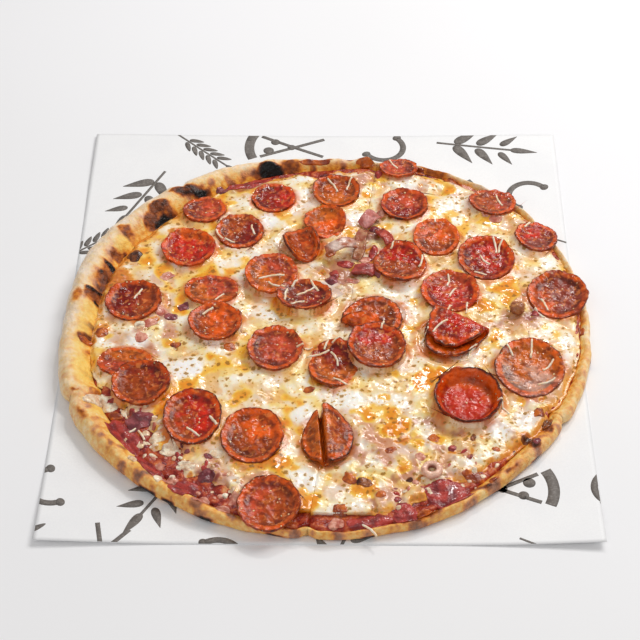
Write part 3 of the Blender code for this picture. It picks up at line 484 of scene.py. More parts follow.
def shift(bm, vec, verts=None):
    bmesh.ops.translate(bm, verts=verts or bm.verts[:], vec=vec)


def turn_piece(bm, turn, axis="Z", verts=None):
    matrix = Matrix.Rotation(radians(turn), 3, axis)
    bmesh.ops.rotate(bm, verts=verts or bm.verts[:], cent=(0, 0, 0), matrix=matrix)


def grow(bm):
    """Extrude the whole sheet and give back the new corners."""
    grown = bmesh.ops.extrude_face_region(bm, geom=bm.faces[:])
    return [part for part in grown["geom"] if isinstance(part, bmesh.types.BMVert)]


def turn_outwards(bm):
    bmesh.ops.recalc_face_normals(bm, faces=bm.faces[:])


def set_down(bm, box, x, y, sink):
    """Set a piece at its place, its lowest point a little below its node's."""
    height = box[0].z / MM - min(v.co.z for v in bm.verts) - sink
    shift(bm, (x, y, height))
    return height


def to_mesh(bm, name):
    mesh = bpy.data.meshes.new(name)
    bm.to_mesh(mesh)
    bm.free()
    return mesh


def join(heap, bm):
    """Add a finished part to a heap."""
    mesh = to_mesh(bm, "part")
    heap.from_mesh(mesh)
    bpy.data.meshes.remove(mesh)


def put(name, data):
    thing = bpy.data.objects.new(name, data)
    bpy.context.scene.collection.objects.link(thing)
    return thing


def publish(name, bm, material, masks, nodes=()):
    """Turn a finished bmesh into a piece of the scene, with a value of each mask a corner."""
    shift(bm, (*PIZZA_CENTRE, 0))
    bmesh.ops.scale(bm, verts=bm.verts[:], vec=(MM, MM, MM))
    mesh = to_mesh(bm, name)
    mesh.shade_smooth()
    mesh.materials.append(material)
    for key, values in masks.items():
        kind, field = ("FLOAT", "value") if values.ndim == 1 else ("FLOAT_COLOR", "color")
        mesh.attributes.new(key, kind, "POINT").data.foreach_set(field, values.ravel())
    piece = put(name, mesh)
    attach(piece, "root")
    if nodes:
        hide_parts(*nodes)
    return piece


def linear(code):
    """A colour as the renderer counts it, from its hexadecimal code."""
    shades = (int(code[k:k + 2], 16) / 255 for k in (0, 2, 4))
    return tuple(s / 12.92 if s <= 0.04045 else ((s + 0.055) / 1.055) ** 2.4 for s in shades)


def two_tone(codes, share):
    """A colour for each corner, from the first of two codes to the second."""
    first, second = (np.array([*linear(code), 1.0]) for code in codes)
    return first + (second - first) * share[:, None]


class Finish:
    """A material whose colour is built up from masks and noise on object coordinates."""

    def __init__(self, name, roughness, specular=0.5):
        self.material = bpy.data.materials.new(name)
        self.material.use_nodes = True
        self.tree = self.material.node_tree
        self.shader = self.tree.nodes["Principled BSDF"]
        self.shader.inputs["Roughness"].default_value = roughness
        self.shader.inputs["Specular IOR Level"].default_value = specular
        self.coordinates = self.tree.nodes.new("ShaderNodeTexCoord").outputs["Object"]

    def link(self, value, socket):
        if isinstance(value, bpy.types.NodeSocket):
            self.tree.links.new(value, socket)
        else:
            socket.default_value = value

    def node(self, kind, output, values, **settings):
        """One output of a new node, with the node's settings and what goes into it."""
        node = self.tree.nodes.new(f"ShaderNode{kind}")
        for name, setting in settings.items():
            setattr(node, name, setting)
        for socket, value in values.items():
            self.link(value, node.inputs[socket])
        return node.outputs[output]

    def mask(self, name, output="Fac"):
        return self.node("Attribute", output, {}, attribute_name=name)

    def mottle(self, size, detail=2.0, distortion=0.0):
        """Noise with bumps about size millimetres apart."""
        return self.node("TexNoise", "Fac", {"Vector": self.coordinates, "Scale": 1 / (size * MM),
                                             "Detail": detail, "Distortion": distortion})

    def cells(self, size, warp):
        """Distance from scattered points on warped coordinates, and a random value for each."""
        wave = self.node("TexNoise", "Color", {"Vector": self.coordinates,
                                               "Scale": 1 / (0.5 * size * MM)})
        terms = {0: wave, 1: (warp * MM,) * 3, 2: self.coordinates}
        moved = self.node("VectorMath", "Vector", terms, operation="MULTIPLY_ADD")
        distance = self.node("TexVoronoi", "Distance", {"Vector": moved, "Scale": 1 / (size * MM)})
        return distance, distance.node.outputs["Color"]

    def ramp(self, value, *stops):
        """Colours by position from 0 to 1."""
        colour = self.node("ValToRGB", "Color", {"Fac": value})
        points = colour.node.color_ramp.elements
        for _ in stops[2:]:
            points.new(0.5)
        for point, (place, code) in zip(points, sorted(stops)):
            point.position = place
            point.color = (*linear(code), 1)
        return colour

    def window(self, value, low, high, low_to=0.0, high_to=1.0):
        """Value carried from one range to another and held at its ends."""
        return self.node("MapRange", "Result", dict(enumerate((value, low, high, low_to, high_to))),
                         interpolation_type="SMOOTHSTEP")

    def sum(self, operation, first, second):
        return self.node("Math", "Value", {0: first, 1: second}, operation=operation)

    def mix(self, share, first, second, kind="MIX"):
        first, second = ((*linear(c), 1) if isinstance(c, str) else c for c in (first, second))
        return self.node("Mix", 2, {0: share, 6: first, 7: second},
                         data_type="RGBA", blend_type=kind)

    def bump(self, height, depth, under=None):
        values = {"Height": height, "Distance": depth * MM}
        if under is not None:
            values["Normal"] = under
        return self.node("Bump", "Normal", values)

    def done(self, colour, roughness=None, normal=None, soft=0.0, depth=2.0, coat=0.0):
        inputs = self.shader.inputs
        self.link(colour, inputs["Base Color"])
        if roughness is not None:
            self.link(roughness, inputs["Roughness"])
        if normal is not None:
            self.link(normal, inputs["Normal"])
        if soft:
            inputs["Subsurface Weight"].default_value = soft
            inputs["Subsurface Radius"].default_value = (1.0, 0.6, 0.35)
            inputs["Subsurface Scale"].default_value = depth * MM
        if coat:
            inputs["Coat Weight"].default_value = coat
            inputs["Coat Roughness"].default_value = 0.12
        return self.material


def cheese_finish():
    look = Finish("melted_cheese", 0.22, 0.45)
    cream = look.ramp(look.mottle(15, 2, 0.4), (0.30, "f7c860"), (0.42, "f8dc92"), (0.54, "f9e8c2"),
                      (0.68, "fbf4e6"))
    colour = look.mix(look.window(look.mask("thin"), 0.1, 0.9, 0, 0.6), cream, "e8ac66")
    # White cheese and painted highlights
    colour = look.mix(look.mask("white"), colour, "fcfaf6")
    colour = look.mix(look.window(look.mask("lilac"), 0, 1, 0, 0.85), colour, "cc8468")
    oil = look.mask("oil")
    colour = look.mix(look.window(oil, 0.05, 0.45, 0, 0.9), colour, "f8c63e")
    colour = look.mix(look.window(oil, 0.30, 0.85), colour, "ee9002")
    # Orange ring round each round: oil from the sausage and painted shade under its edge
    colour = look.mix(look.mask("oil_and_shade_halo"), colour, "da6c12")
    colour = look.mix(look.mask("red"), colour, "8a1c12")
    uneven = look.window(look.mottle(2.4, 2), 0.3, 0.7, -0.06, 0.06)
    brown = look.sum("ADD", look.mask("brown"), uneven)
    blister = look.ramp(brown, (0.05, "f8cf78"), (0.25, "eea640"), (0.48, "d2761f"),
                        (0.72, "8c3f10"), (0.95, "2a130b"))
    colour = look.mix(look.window(brown, 0.06, 0.34), colour, blister)
    for spacing, largest, code in ((4.2, 0.36, "9c6c14"), (2.7, 0.30, "bc8c26")):
        distance, chance = look.cells(spacing, 2.8)
        edge = look.sum("SUBTRACT", look.window(chance, 0.25, 0.80, 0.0, largest), distance)
        colour = look.mix(look.window(edge, -0.16, 0.02, 0, 0.5), colour, "f0c25c", "MULTIPLY")
        colour = look.mix(look.window(edge, 0.0, 0.08, 0, 0.85), colour, code)
    normal = look.bump(look.mottle(5.0, 1), 0.9)
    roughness = look.window(oil, 0.0, 0.8, 0.26, 0.16)
    return look.done(colour, roughness, normal, soft=0.12, depth=1.5, coat=0.35)


def crust_finish():
    look = Finish("baked_dough", 0.6, 0.25)
    uneven = look.window(look.mottle(2.6, 4), 0.3, 0.7, -0.08, 0.08)
    shade = look.sum("ADD", look.mask("brown"), uneven)
    colour = look.ramp(shade, (0.0, "f6e0bc"), (0.14, "f4ca72"), (0.28, "eca02e"), (0.42, "c87020"),
                       (0.58, "8a4316"), (0.76, "46200f"), (0.92, "0f0a09"))
    thinner = look.window(look.mottle(4, 4), 0.35, 0.6, 0.6, 1.0)
    dusty = look.sum("MULTIPLY", look.mask("flour"), thinner)
    flour = look.mix(look.window(look.mottle(9, 3), 0.4, 0.65), "f0dfcf", "e4c8ac")
    colour = look.mix(dusty, colour, flour)
    colour = look.mix(look.mask("cheesy"), colour, "f6d268")
    normal = look.bump(look.mottle(1.0, 4), 0.4)
    normal = look.bump(look.mottle(3.6, 2), 1.0, normal)
    roughness = look.window(shade, 0.3, 0.95, 0.58, 0.22)
    return look.done(colour, roughness, normal, soft=0.08, depth=1.5)


def sauce_finish():
    look = Finish("tomato_sauce", 0.26, 0.35)
    colour = look.ramp(look.mottle(5, 4, 0.6), (0.30, "560e0a"), (0.44, "8c2214"), (0.56, "b04424"),
                       (0.66, "cc6c3c"), (0.76, "d9a06a"))
    distance, chance = look.cells(4.2, 1.4)
    size = look.window(chance, 0.62, 0.95, 0.0, 0.34)
    seed = look.window(look.sum("SUBTRACT", size, distance), 0.0, 0.06)
    colour = look.mix(seed, colour, "ecc9a8")
    normal = look.bump(look.mottle(2.2, 3), 0.9)
    normal = look.bump(seed, 0.6, normal)
    return look.done(colour, None, normal, soft=0.1, depth=1.0)


def sausage_finish():
    look = Finish("pepperoni", 0.24, 0.28)
    tone = look.mask("tone", "Color")
    grain = look.mask("grain")
    spotted = look.window(look.mottle(4.6, 2, 0.6), 0.47, 0.66, 0, 0.6)
    colour = look.mix(look.sum("MULTIPLY", spotted, grain), tone, "621604")
    fatty = look.window(look.mottle(3.0, 2, 0.6), 0.53, 0.68, 0, 0.5)
    colour = look.mix(look.sum("MULTIPLY", fatty, grain), colour, "ee8a42")
    distance, chance = look.cells(2.8, 1.2)
    size = look.window(chance, 0.45, 0.85, 0.0, 0.27)
    fleck = look.window(look.sum("SUBTRACT", size, distance), 0.0, 0.10)
    colour = look.mix(look.sum("MULTIPLY", fleck, 0.9), colour, "fbd6a4")
    colour = look.mix(look.mask("crisp"), colour, "2c0a05")
    normal = look.bump(look.mottle(1.8, 2), 0.35)
    normal = look.bump(look.mottle(4.0, 1), 1.4, look.bump(fleck, 0.6, normal))
    roughness = look.window(look.mottle(7), 0.35, 0.65, 0.16, 0.36)
    return look.done(colour, roughness, normal, soft=0.05, depth=1.0, coat=0.14)


def meat_finish():
    look = Finish("cooked_meat", 0.3, 0.35)
    tone = look.mask("tone", "Color")
    darker = look.window(look.mottle(2.6, 3, 0.5), 0.45, 0.62, 0, 0.35)
    colour = look.mix(darker, tone, "c88a68", "MULTIPLY")
    colour = look.mix(look.mask("crisp"), colour, "5a2010")
    normal = look.bump(look.mottle(2.2, 2), 0.9)
    return look.done(colour, None, normal, soft=0.1, depth=1.0, coat=0.3)


def shred_finish():
    look = Finish("grated_cheese", 0.3)
    colour = look.ramp(look.mottle(3, 2), (0.35, "f0cfa6"), (0.6, "f8e8d2"))
    return look.done(colour, None, look.bump(look.mottle(0.8, 2), 0.12), soft=0.3, depth=1.0)


def paper_finish():
    look = Finish("food_paper", 0.55, 0.35)
    fibre = look.mottle(0.9, 4)
    colour = look.mix(look.window(look.mottle(30, 3), 0.3, 0.7), "eeeeef", "f2f2f2")
    colour = look.mix(look.window(fibre, 0.35, 0.65, 0, 0.25), colour, "e4e4e5")
    return look.done(colour, None, look.bump(fibre, 0.05))


def ink_finish():
    look = Finish("printed_ink", 0.6, 0.3)
    colour = look.mix(look.window(look.mottle(1.2, 4), 0.45, 0.7), "6e6863", "837d78")
    return look.done(colour, None, look.bump(look.mottle(0.9, 4), 0.05))


def rim_surface(direction, inset):
    """Height of the rim's upper side between its crest and its foot."""
    width = ring_value(RIM_WIDTH, direction)
    crest = ring_value(RIM_TOP, direction)
    return blend(crest, DOUGH_TOP, smooth(0.4, 1.05, inset / width))


def bubble_lift(x, y):
    lift = np.zeros(x.shape)
    for direction, inset, radius, height in BUBBLES:
        angle = np.array([radians(direction)])
        reach = ring_value(OUTLINE, angle)[0] - inset
        gap = np.hypot(x - cos(angle[0]) * reach, y - sin(angle[0]) * reach)
        lift = lift + height * np.exp(-(gap / (0.75 * radius)) ** 2)
    return lift


def rim_profile(direction):
    """Inset from the edge, height and freedom of the rim's points, underside to foot."""
    width = ring_value(RIM_WIDTH, direction)
    rise = ring_value(RIM_TOP, direction) - DOUGH_BASE
    foot = DOUGH_TOP - DOUGH_BASE
    none, full = np.zeros(direction.shape), np.ones(direction.shape)
    inset = (np.minimum(0.30 * rise, 0.5 * width), 0.04 * rise, none, 0.10 * width, 0.30 * width,
             0.55 * width, 0.80 * width, width)
    height = (none, 0.20 * rise, 0.45 * rise, 0.82 * rise, rise, 0.92 * rise,
              foot + 0.42 * (rise - foot), foot * full)
    freedom = [full * f for f in (0, 0.2, 0.6, 0.9, 1, 1, 0.8, 0.3)]
    return [np.array(part) for part in (inset, height, freedom)]


def read_profile(points, place):
    """A profile's values between its points, place running from 0 to 1."""
    last = len(points) - 1
    position = np.clip(place, 0, 1) * last
    first = np.minimum(np.floor(position).astype(int), last - 1)
    columns = np.arange(len(place))
    a, b, c, d = (points[np.clip(first + k, 0, last), columns] for k in (-1, 0, 1, 2))
    return cubic(a, b, c, d, position - first)


def close_slice(bm):
    """Merge the tip's corners and close the two cut sides."""
    bmesh.ops.remove_doubles(bm, verts=bm.verts[:], dist=0.01)
    bmesh.ops.holes_fill(bm, edges=[e for e in bm.edges if e.is_boundary], sides=0)
    turn_outwards(bm)


def slice_sheet(start, end, columns, rows):
    """A sheet whose columns fan out from a slice's tip.

    Gives back how far along its column each corner is, the column's angle, the length of the
    column and the direction of its outer end, and a function that places the corners.
    """
    tip = tip_of(start, end)
    bm, across, along = unit_grid(columns, rows)
    angle = start + (end - start) * across
    reach = distance_to_edge(tip, angle, edge_at)
    direction = np.arctan2(tip[1] + np.sin(angle) * reach, tip[0] + np.cos(angle) * reach)

    def place(from_edge):
        out = reach - from_edge
        return tip[0] + np.cos(angle) * out, tip[1] + np.sin(angle) * out

    return bm, along, angle, reach, direction, place


def make_crust(number, start, end, material):
    """A slice of dough: rows run from the tip's underside round the rim to the tip's top."""
    columns = int((end - start) * 150 / CRUST_CELL)
    bm, along, angle, reach, direction, place = slice_sheet(start, end, columns, CRUST_ROWS)
    inset, height, freedom = rim_profile(direction)
    row = along * CRUST_ROWS
    on_rim = (row - UNDER_ROWS) / RIM_ROWS
    from_edge = read_profile(inset, on_rim)
    rise = read_profile(height, on_rim)
    free = np.clip(read_profile(freedom, on_rim), 0, 1)
    under = np.clip(1 - row / UNDER_ROWS, 0, 1)
    over = np.clip((row - UNDER_ROWS - RIM_ROWS) / (CRUST_ROWS - UNDER_ROWS - RIM_ROWS), 0, 1)
    x, y = place(blend(from_edge, reach, np.maximum(under, over)))
    lift = 0.9 * wander(x, y, 16, 8.1) + 1.1 * wander(x, y, 8, 2.2) + bubble_lift(x, y)
    lift += 0.45 * wander(x, y, 3.2, 4.2) + 1.1 * patch_mask(x, y, CHAR_PATCHES, 0.5)
    z = DOUGH_BASE + rise + free * lift
    side = free * (on_rim < 0.45) * 0.8 * wander(angle * 150, z * 1.5, 5, 6.2)
    x, y = x + np.cos(direction) * side, y + np.sin(direction) * side
    move_vertices(bm, x, y, z)
    close_slice(bm)
    x, y, z = vertex_places(bm)
    direction = np.arctan2(y, x)
    from_edge = edge_at(direction) - np.hypot(x, y)
    width = ring_value(RIM_WIDTH, direction)
    crest = ring_value(RIM_TOP, direction)
    low = smooth(1.05, 0.65, z / crest) * smooth(0.50 * width, 0.14 * width, from_edge)
    inner = smooth(0.20, 0.9, from_edge / width)
    golden = ring_value(GOLDEN_WALL, direction)
    warm = np.maximum(inner * ring_value(WARM_RIM, direction), golden)
    mottled = 0.06 + 0.11 * wander(x, y, 14, 2.9) + 0.18 * warm
    mottled += 0.32 * smooth(0.05, 0.45, wander(x, y, 6.5, 6.1)) * warm
    mottled += 0.12 * smooth(0.2, 0.6, wander(x, y, 4.0, 1.3))
    mottled *= 1 - 0.75 * low * (1 - golden)
    on_top = smooth(0.06, 0.28, from_edge / width + 0.06 * wander(x, y, 5, 3.6))
    on_wall = smooth(0.62, 0.40, z / crest) * smooth(0.6, 0.4, from_edge / width)
    patches = np.maximum(patch_mask(x, y, BROWN_PATCHES), patch_mask(x, y, CHAR_PATCHES)) * on_top
    patches = np.maximum(patches, patch_mask(x, y, EDGE_CHAR_PATCHES) * on_wall)
    flour = np.maximum(low, 0.85 * (1 - inner)) * (1 - 0.8 * golden)
    cheesy = patch_mask(x, y, CHEESY_RIM, 1.6) * smooth(0.1, 0.5, inner)
    masks = {
        "brown": np.clip(mottled + patches * (1 - mottled), 0, 1),
        "flour": flour * smooth(0.35, 0.1, patches),
        "cheesy": cheesy * smooth(0.4, 0.2, patches),
    }
    return publish(f"crust_{number}", bm, material, masks, [f"crust_slice_{number}"])


def cheese_edge_inset(direction):
    """Inset of the cheese's edge: short of the rim where sauce shows, up on it elsewhere."""
    x, y = np.cos(direction) * 150, np.sin(direction) * 150
    shown = np.maximum(0.5, ring_value(SAUCE_SHOWN, direction))
    ragged = 0.8 * shown * wander(x, y, 11, 5.3) + 0.3 * shown * wander(x, y, 4, 2.3)
    ragged = np.clip(ragged, -0.9 * shown, 0.8 * shown) + 1.2 * wander(x, y, 5, 1.9)
    width = ring_value(RIM_WIDTH, direction)
    ragged += 0.14 * width * wander(x, y, 13, 6.8)
    climb = 0.18 * width * smooth(2.5, 1.0, shown)
    return width + 0.5 + shown + ragged - climb


def cheese_limit(direction):
    return edge_at(direction) - cheese_edge_inset(direction)


def make_sauce(number, start, end, material):
    """The sauce layer, lumpy in the band that shows."""
    columns = int((end - start) * 145 / SAUCE_CELL)
    bm, along, _, reach, direction, place = slice_sheet(start, end, columns, SAUCE_ROWS)
    outer = ring_value(RIM_WIDTH, direction) - 1
    band = np.maximum(cheese_edge_inset(direction) - outer, 0) + 4
    in_band = np.clip(along * 1.1, 0, 1)
    inward = np.clip((along - 1 / 1.1) / (1 - 1 / 1.1), 0, 1)
    from_edge = blend(outer + band * in_band, reach, inward)
    x, y = place(from_edge)
    lumps = 0.9 * wander(x, y, 8, 6.6) + 0.7 * wander(x, y, 3.6, 2.7)
    rise = smooth(0, 2.5, from_edge - outer) * (0.6 + lumps) * (1 - inward)
    z = SAUCE_TOP + np.maximum(rise, -0.4) - 1.2 * smooth(1.5, 0, from_edge - outer)
    move_vertices(bm, x, y, z)
    for v in grow(bm):
        v.co.z = SAUCE_BASE
    bmesh.ops.remove_doubles(bm, verts=bm.verts[:], dist=0.01)
    turn_outwards(bm)
    return publish(f"sauce_{number}", bm, material, {}, [f"sauce_slice_{number}"])


def cheese_top(x, y):
    """Height of the melted cheese, pressed flat under each round and banked up against it."""
    lumpy = 0.25 + 0.85 * patch_mask(x, y, LUMPY_PATCHES)
    height = CHEESE_TOP + 1.3 * wander(x, y, 26, 4.4) + 1.2 * wander(x, y, 12, 9.2)
    height += lumpy * (1.3 * wander(x, y, 5.6, 1.4) + 0.7 * wander(x, y, 2.8, 7.5))
    for top in ROUNDS:
        off_x, off_y = x - top.x, y - top.y
        share = np.hypot(off_x / (top.wide / 2), off_y / (top.deep / 2))
        gap = (share - 1) * (top.wide + top.deep) / 4
        near = gap < 6
        low = radians(top.low)
        tilt = -(off_x * cos(low) + off_y * sin(low)) * sin(radians(top.lean))
        floor = SEATS[top.name] - ROUND_THICK - 0.1 + np.clip(tilt, -4, 4)
        form = FORMS[top.form]
        edge = 0 if form.radius or form.leaves else form.edge
        under = floor + edge * smooth(form.floor, 1.0, share)
        level = np.minimum(floor + edge + 0.7, np.maximum(CHEESE_TOP + 1.2, height))
        bank = blend(height, level, smooth(4.5, 0.2, gap))
        height = np.where(near, np.where(gap < 0, under, bank), height)
    return np.maximum(CHEESE_BASE + 1.0, height)


def make_cheese(number, start, end, material):
    """A slice of cheese: a fine sheet cut along both cuts and round its ragged edge."""
    bm = bmesh.new()
    corners = [HUB] + [(HUB[0] + cos(a) * 175, HUB[1] + sin(a) * 175)
                       for a in np.linspace(start, end, 9)]
    low, high = np.min(corners, axis=0), np.max(corners, axis=0)
    low, high = np.maximum(low, -166), np.minimum(high, 166)
    cells = np.ceil((high - low) / CHEESE_CELL).astype(int)
    bmesh.ops.create_grid(bm, x_segments=int(cells[0]), y_segments=int(cells[1]), size=0.5)
    middle, size = (low + high) / 2, high - low
    bmesh.ops.scale(bm, verts=bm.verts[:], vec=(*size, 1))
    shift(bm, (*middle, 0))
    for angle, side in ((start, 1), (end, -1)):
        normal = Vector((-sin(angle), cos(angle), 0)) * side
        cut_plane(bm, Vector((*HUB, 0)) + normal * KERF / 2, normal, clear_inner=True)
    x, y, _ = vertex_places(bm)
    outside = np.hypot(x, y) > cheese_limit(np.arctan2(y, x)) + 0.6 * CHEESE_CELL
    bm.verts.ensure_lookup_table()
    bmesh.ops.delete(bm, geom=[bm.verts[k] for k in np.flatnonzero(outside)], context="VERTS")
    x, y, _ = vertex_places(bm)
    direction, radius = np.arctan2(y, x), np.hypot(x, y)
    limit = cheese_limit(direction)
    border = np.array([v.is_boundary for v in bm.verts]) & (radius > limit - 1.2 * CHEESE_CELL)
    scale = np.where(border, limit / np.maximum(radius, 1), 1.0)
    x, y = x * scale, y * scale
    radius = np.hypot(x, y)
    inside = limit - radius
    below = np.maximum(SAUCE_TOP, rim_surface(direction, edge_at(direction) - radius))
    top = cheese_top(x, y)
    z = blend(below - 0.4, np.maximum(top, below + 0.7), smooth(0, 4.0, inside))
    from_cut = np.full(x.shape, 99.0)
    for angle in (start, end):
        away = np.abs(-sin(angle) * (x - HUB[0]) + cos(angle) * (y - HUB[1])) - KERF / 2
        from_cut = np.minimum(from_cut, away)
    softness = 0.35 + 0.6 * wander(x, y, 9, 3.3)
    z -= np.clip(softness, 0.0, 0.8) * smooth(1.7, 0, from_cut)
    z = np.maximum(z, CHEESE_BASE + 0.3)
    move_vertices(bm, x, y, z)
    grown = bmesh.ops.extrude_edge_only(bm, edges=[e for e in bm.edges if e.is_boundary])
    for v in (g for g in grown["geom"] if isinstance(g, bmesh.types.BMVert)):
        v.co.z = SAUCE_BASE + 0.4
    close_slice(bm)
    x, y, _ = vertex_places(bm)
    return publish(f"melted_cheese_{number}", bm, material, cheese_masks(x, y),
                   [f"cheese_slice_{number}"])


def cheese_masks(x, y):
    """Where the cheese is white with painted highlights, thin, oily, pink or browned, and the ring
    round each round, oil with painted shade.
    """
    fine = wander(x, y, 3.0, 2.4)
    hill = wander(x, y, 12, 9.2) + 0.7 * wander(x, y, 5.6, 1.4)
    lumpy = patch_mask(x, y, LUMPY_PATCHES)
    blister = wander(x, y, 7.0, 5.9) + 0.35 * fine
    thin = smooth(0.05, -0.60, hill + 0.15 * fine)
    oily = 0.75 * smooth(0.12, 0.55, wander(x, y, 20, 7.2) + 0.35 * wander(x, y, 7, 3.8))
    # Orange ring round each round: oil from the sausage and painted shade under its edge
    oil_and_shade_halo = np.zeros(x.shape)
    for top in ROUNDS:
        share = np.hypot((x - top.x) / (top.wide / 2), (y - top.y) / (top.deep / 2))
        oil_and_shade_halo = np.maximum(oil_and_shade_halo, smooth(1.30, 1.0, share + 0.14 * fine))
    # White cheese and painted highlights, from the patches and at random
    white = np.maximum(patch_mask(x, y, WHITE_AND_HIGHLIGHT_PATCHES),
                       0.6 * smooth(0.20, 0.6, wander(x, y, 13, 1.1) + 0.2 * fine))
    oil = np.maximum(patch_mask(x, y, OIL_PATCHES), oily * (1 - white))
    oil_and_shade_halo *= 0.30 + 0.60 * smooth(-0.3, 0.4, wander(x, y, 10, 8.5))
    browned = np.clip((blister - 0.60 + 0.30 * lumpy) / 0.75, 0, 0.62) * (1 - 0.8 * white)
    direction = np.arctan2(y, x)
    inside = cheese_limit(direction) - np.hypot(x, y)
    near_edge = smooth(8.0, 0.5, inside + 3.0 * wander(x, y, 7, 2.8))
    baked = ring_value(BAKED_EDGE, direction) * near_edge
    pinkish = (0.34 + 0.6 * lumpy) * smooth(-0.2, 0.45, wander(x, y, 11, 6.4) + 0.2 * fine)
    pinkish = np.minimum(1, 1.15 * pinkish)
    near_sauce = smooth(18, 2, inside) * smooth(2, 6, ring_value(SAUCE_SHOWN, direction))
    pinkish = np.maximum(pinkish, 0.85 * near_sauce * smooth(-0.4, 0.2, wander(x, y, 7, 3.6)))
    lilac = np.maximum(patch_mask(x, y, LILAC_PATCHES), pinkish)
    meaty = (0.35 * lumpy + 0.6 * near_sauce) * smooth(0.15, 0.5, wander(x, y, 5, 4.9) + 0.3 * fine)
    return {
        "oil_and_shade_halo": oil_and_shade_halo,
        "white": white * (1 - np.clip(baked, 0, 1)),
        "thin": thin * (1 - white),
        "oil": np.clip(oil, 0, 1),
        "red": np.maximum(patch_mask(x, y, RED_PATCHES), meaty * (1 - white)),
        "lilac": lilac * (1 - 0.6 * white) * (1 - oil),
        "brown": np.maximum(np.maximum(browned, 0.9 * patch_mask(x, y, BROWN_PATCHES)), baked),
    }


def bend(x, z, form):
    """Carry points of a flat sheet round a fold that runs along its Y axis."""
    x = x - form.place
    limit = np.where(x > 0, radians(form.far), radians(form.near))
    angle = np.minimum(np.abs(x) / form.radius, limit)
    straight = np.abs(x) - form.radius * angle
    side = np.where(x > 0, 1, -1)
    out = form.radius * np.sin(angle) + straight * np.cos(angle) - z * np.sin(angle)
    up = form.radius * (1 - np.cos(angle)) + straight * np.sin(angle) + z * np.cos(angle)
    return side * out + form.place, up


def crease_lift(x, y, form):
    """Height of the two leaves that stand up beside a crease, the left one lower."""
    out, left = np.abs(x - form.place), x < form.place
    height = form.leaves * np.where(left, LEFT_LEAF, 1) * (0.8 + 0.02 * y)
    fall = 1 - 0.9 * smooth(CREASE_WIDTH, np.where(left, *LEAF_SPREAD), out)
    return height * smooth(0, CREASE_WIDTH, out) * fall


def round_sheet(top):
    """The round's upper side in its own place: a sheet of quads drawn out to a shaped disc.

    Its corners keep where they lie on the flat disc, for the colours.
    """
    bm, across, along = unit_grid(ROUND_CELLS, ROUND_CELLS)
    u, v = 2 * across - 1, 2 * along - 1
    disc_x, disc_y = turned(u * np.sqrt(1 - v * v / 2), v * np.sqrt(1 - u * u / 2), top.turn)
    share, angle = np.hypot(disc_x, disc_y), np.arctan2(disc_y, disc_x)
    form = FORMS[top.form]
    ragged = wander(3 * np.cos(angle) + top.x, 3 * np.sin(angle), 1.3, 7.7)
    frill = wander(7 * np.cos(angle) + top.y, 7 * np.sin(angle), 1.1, 2.3)
    grown = 1 + share ** 2 * (0.05 * ragged + 0.03 * frill)
    plan_x, plan_y = disc_x * grown * top.wide / 2, disc_y * grown * top.deep / 2
    sheet_x, sheet_y = turned(plan_x, plan_y, -top.turn)
    sheet_x = sheet_x * form.stretch
    lift = form.edge * smooth(form.floor, 1.0, share)
    lift += form.saddle * share ** 2 * np.cos(2 * (angle - radians(top.turn)))
    lift += share ** 5 * (0.5 * ragged + 0.5 * frill)
    lift += 0.50 * wander(plan_x + 9 * top.x, plan_y + top.y, 5.0, 3.9)
    lift += 0.28 * wander(plan_x + 9 * top.x, plan_y + top.y, 2.2, 1.3)
    if form.leaves:
        lift += crease_lift(sheet_x, sheet_y, form)
    if form.radius:
        sheet_x, lift = bend(sheet_x, lift, form)
        sheet_x -= (sheet_x.min() + sheet_x.max()) / 2
    move_vertices(bm, sheet_x, sheet_y, lift)
    for name, values in (("disc_x", disc_x), ("disc_y", disc_y)):
        layer = bm.verts.layers.float.new(name)
        for corner, value in zip(bm.verts, values.tolist()):
            corner[layer] = value
    return bm


def thicken(bm, form):
    """Give a round's sheet its thickness; below a leaf it stays clear of the crease."""
    if form.leaves:
        for v in grow(bm):
            clear = min(1, max(0, (abs(v.co.x - form.place) - CREASE_WIDTH) / CREASE_WALL))
            v.co.z = (v.co.z - LEAF_DEPTH) * clear - ROUND_THICK * (1 - clear)
    else:
        bm.normal_update()
        bmesh.ops.solidify(bm, geom=bm.faces[:], thickness=ROUND_THICK)
    turn_outwards(bm)
    corners = [e for e in bm.edges if e.calc_face_angle(0) > radians(60)]
    bmesh.ops.bevel(bm, geom=corners, offset=ROUND_BEVEL, segments=2, profile=0.5, material=-1,
                    affect="EDGES")


def make_round(top, material):
    """A round of pepperoni: the sheet given its thickness, leaned and seated."""
    bm = round_sheet(top)
    thicken(bm, FORMS[top.form])
    low = radians(top.low)
    axis = Vector((-sin(low), cos(low), 0))
    place = Matrix.Rotation(radians(top.lean), 3, axis) @ Matrix.Rotation(radians(top.turn), 3, "Z")
    bmesh.ops.rotate(bm, verts=bm.verts[:], cent=(0, 0, 0), matrix=place)
    SEATS[top.name] = set_down(bm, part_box(f"pepperoni_{top.name}"), top.x, top.y, SINK)
    bm.normal_update()
    facing = np.array([v.normal.z for v in bm.verts])
    masks = round_masks(top, *disc_places(bm), facing)
    return publish(f"pepperoni_round_{top.name}", bm, material, masks,
                   [f"pepperoni_{top.name}"])


def disc_places(bm):
    """Where each corner lay on the flat disc, -1 to 1."""
    layers = [bm.verts.layers.float[name] for name in ("disc_x", "disc_y")]
    places = [np.array([v[layer] for v in bm.verts]) for layer in layers]
    for name in ("disc_x", "disc_y"):
        bm.verts.layers.float.remove(bm.verts.layers.float[name])
    return places


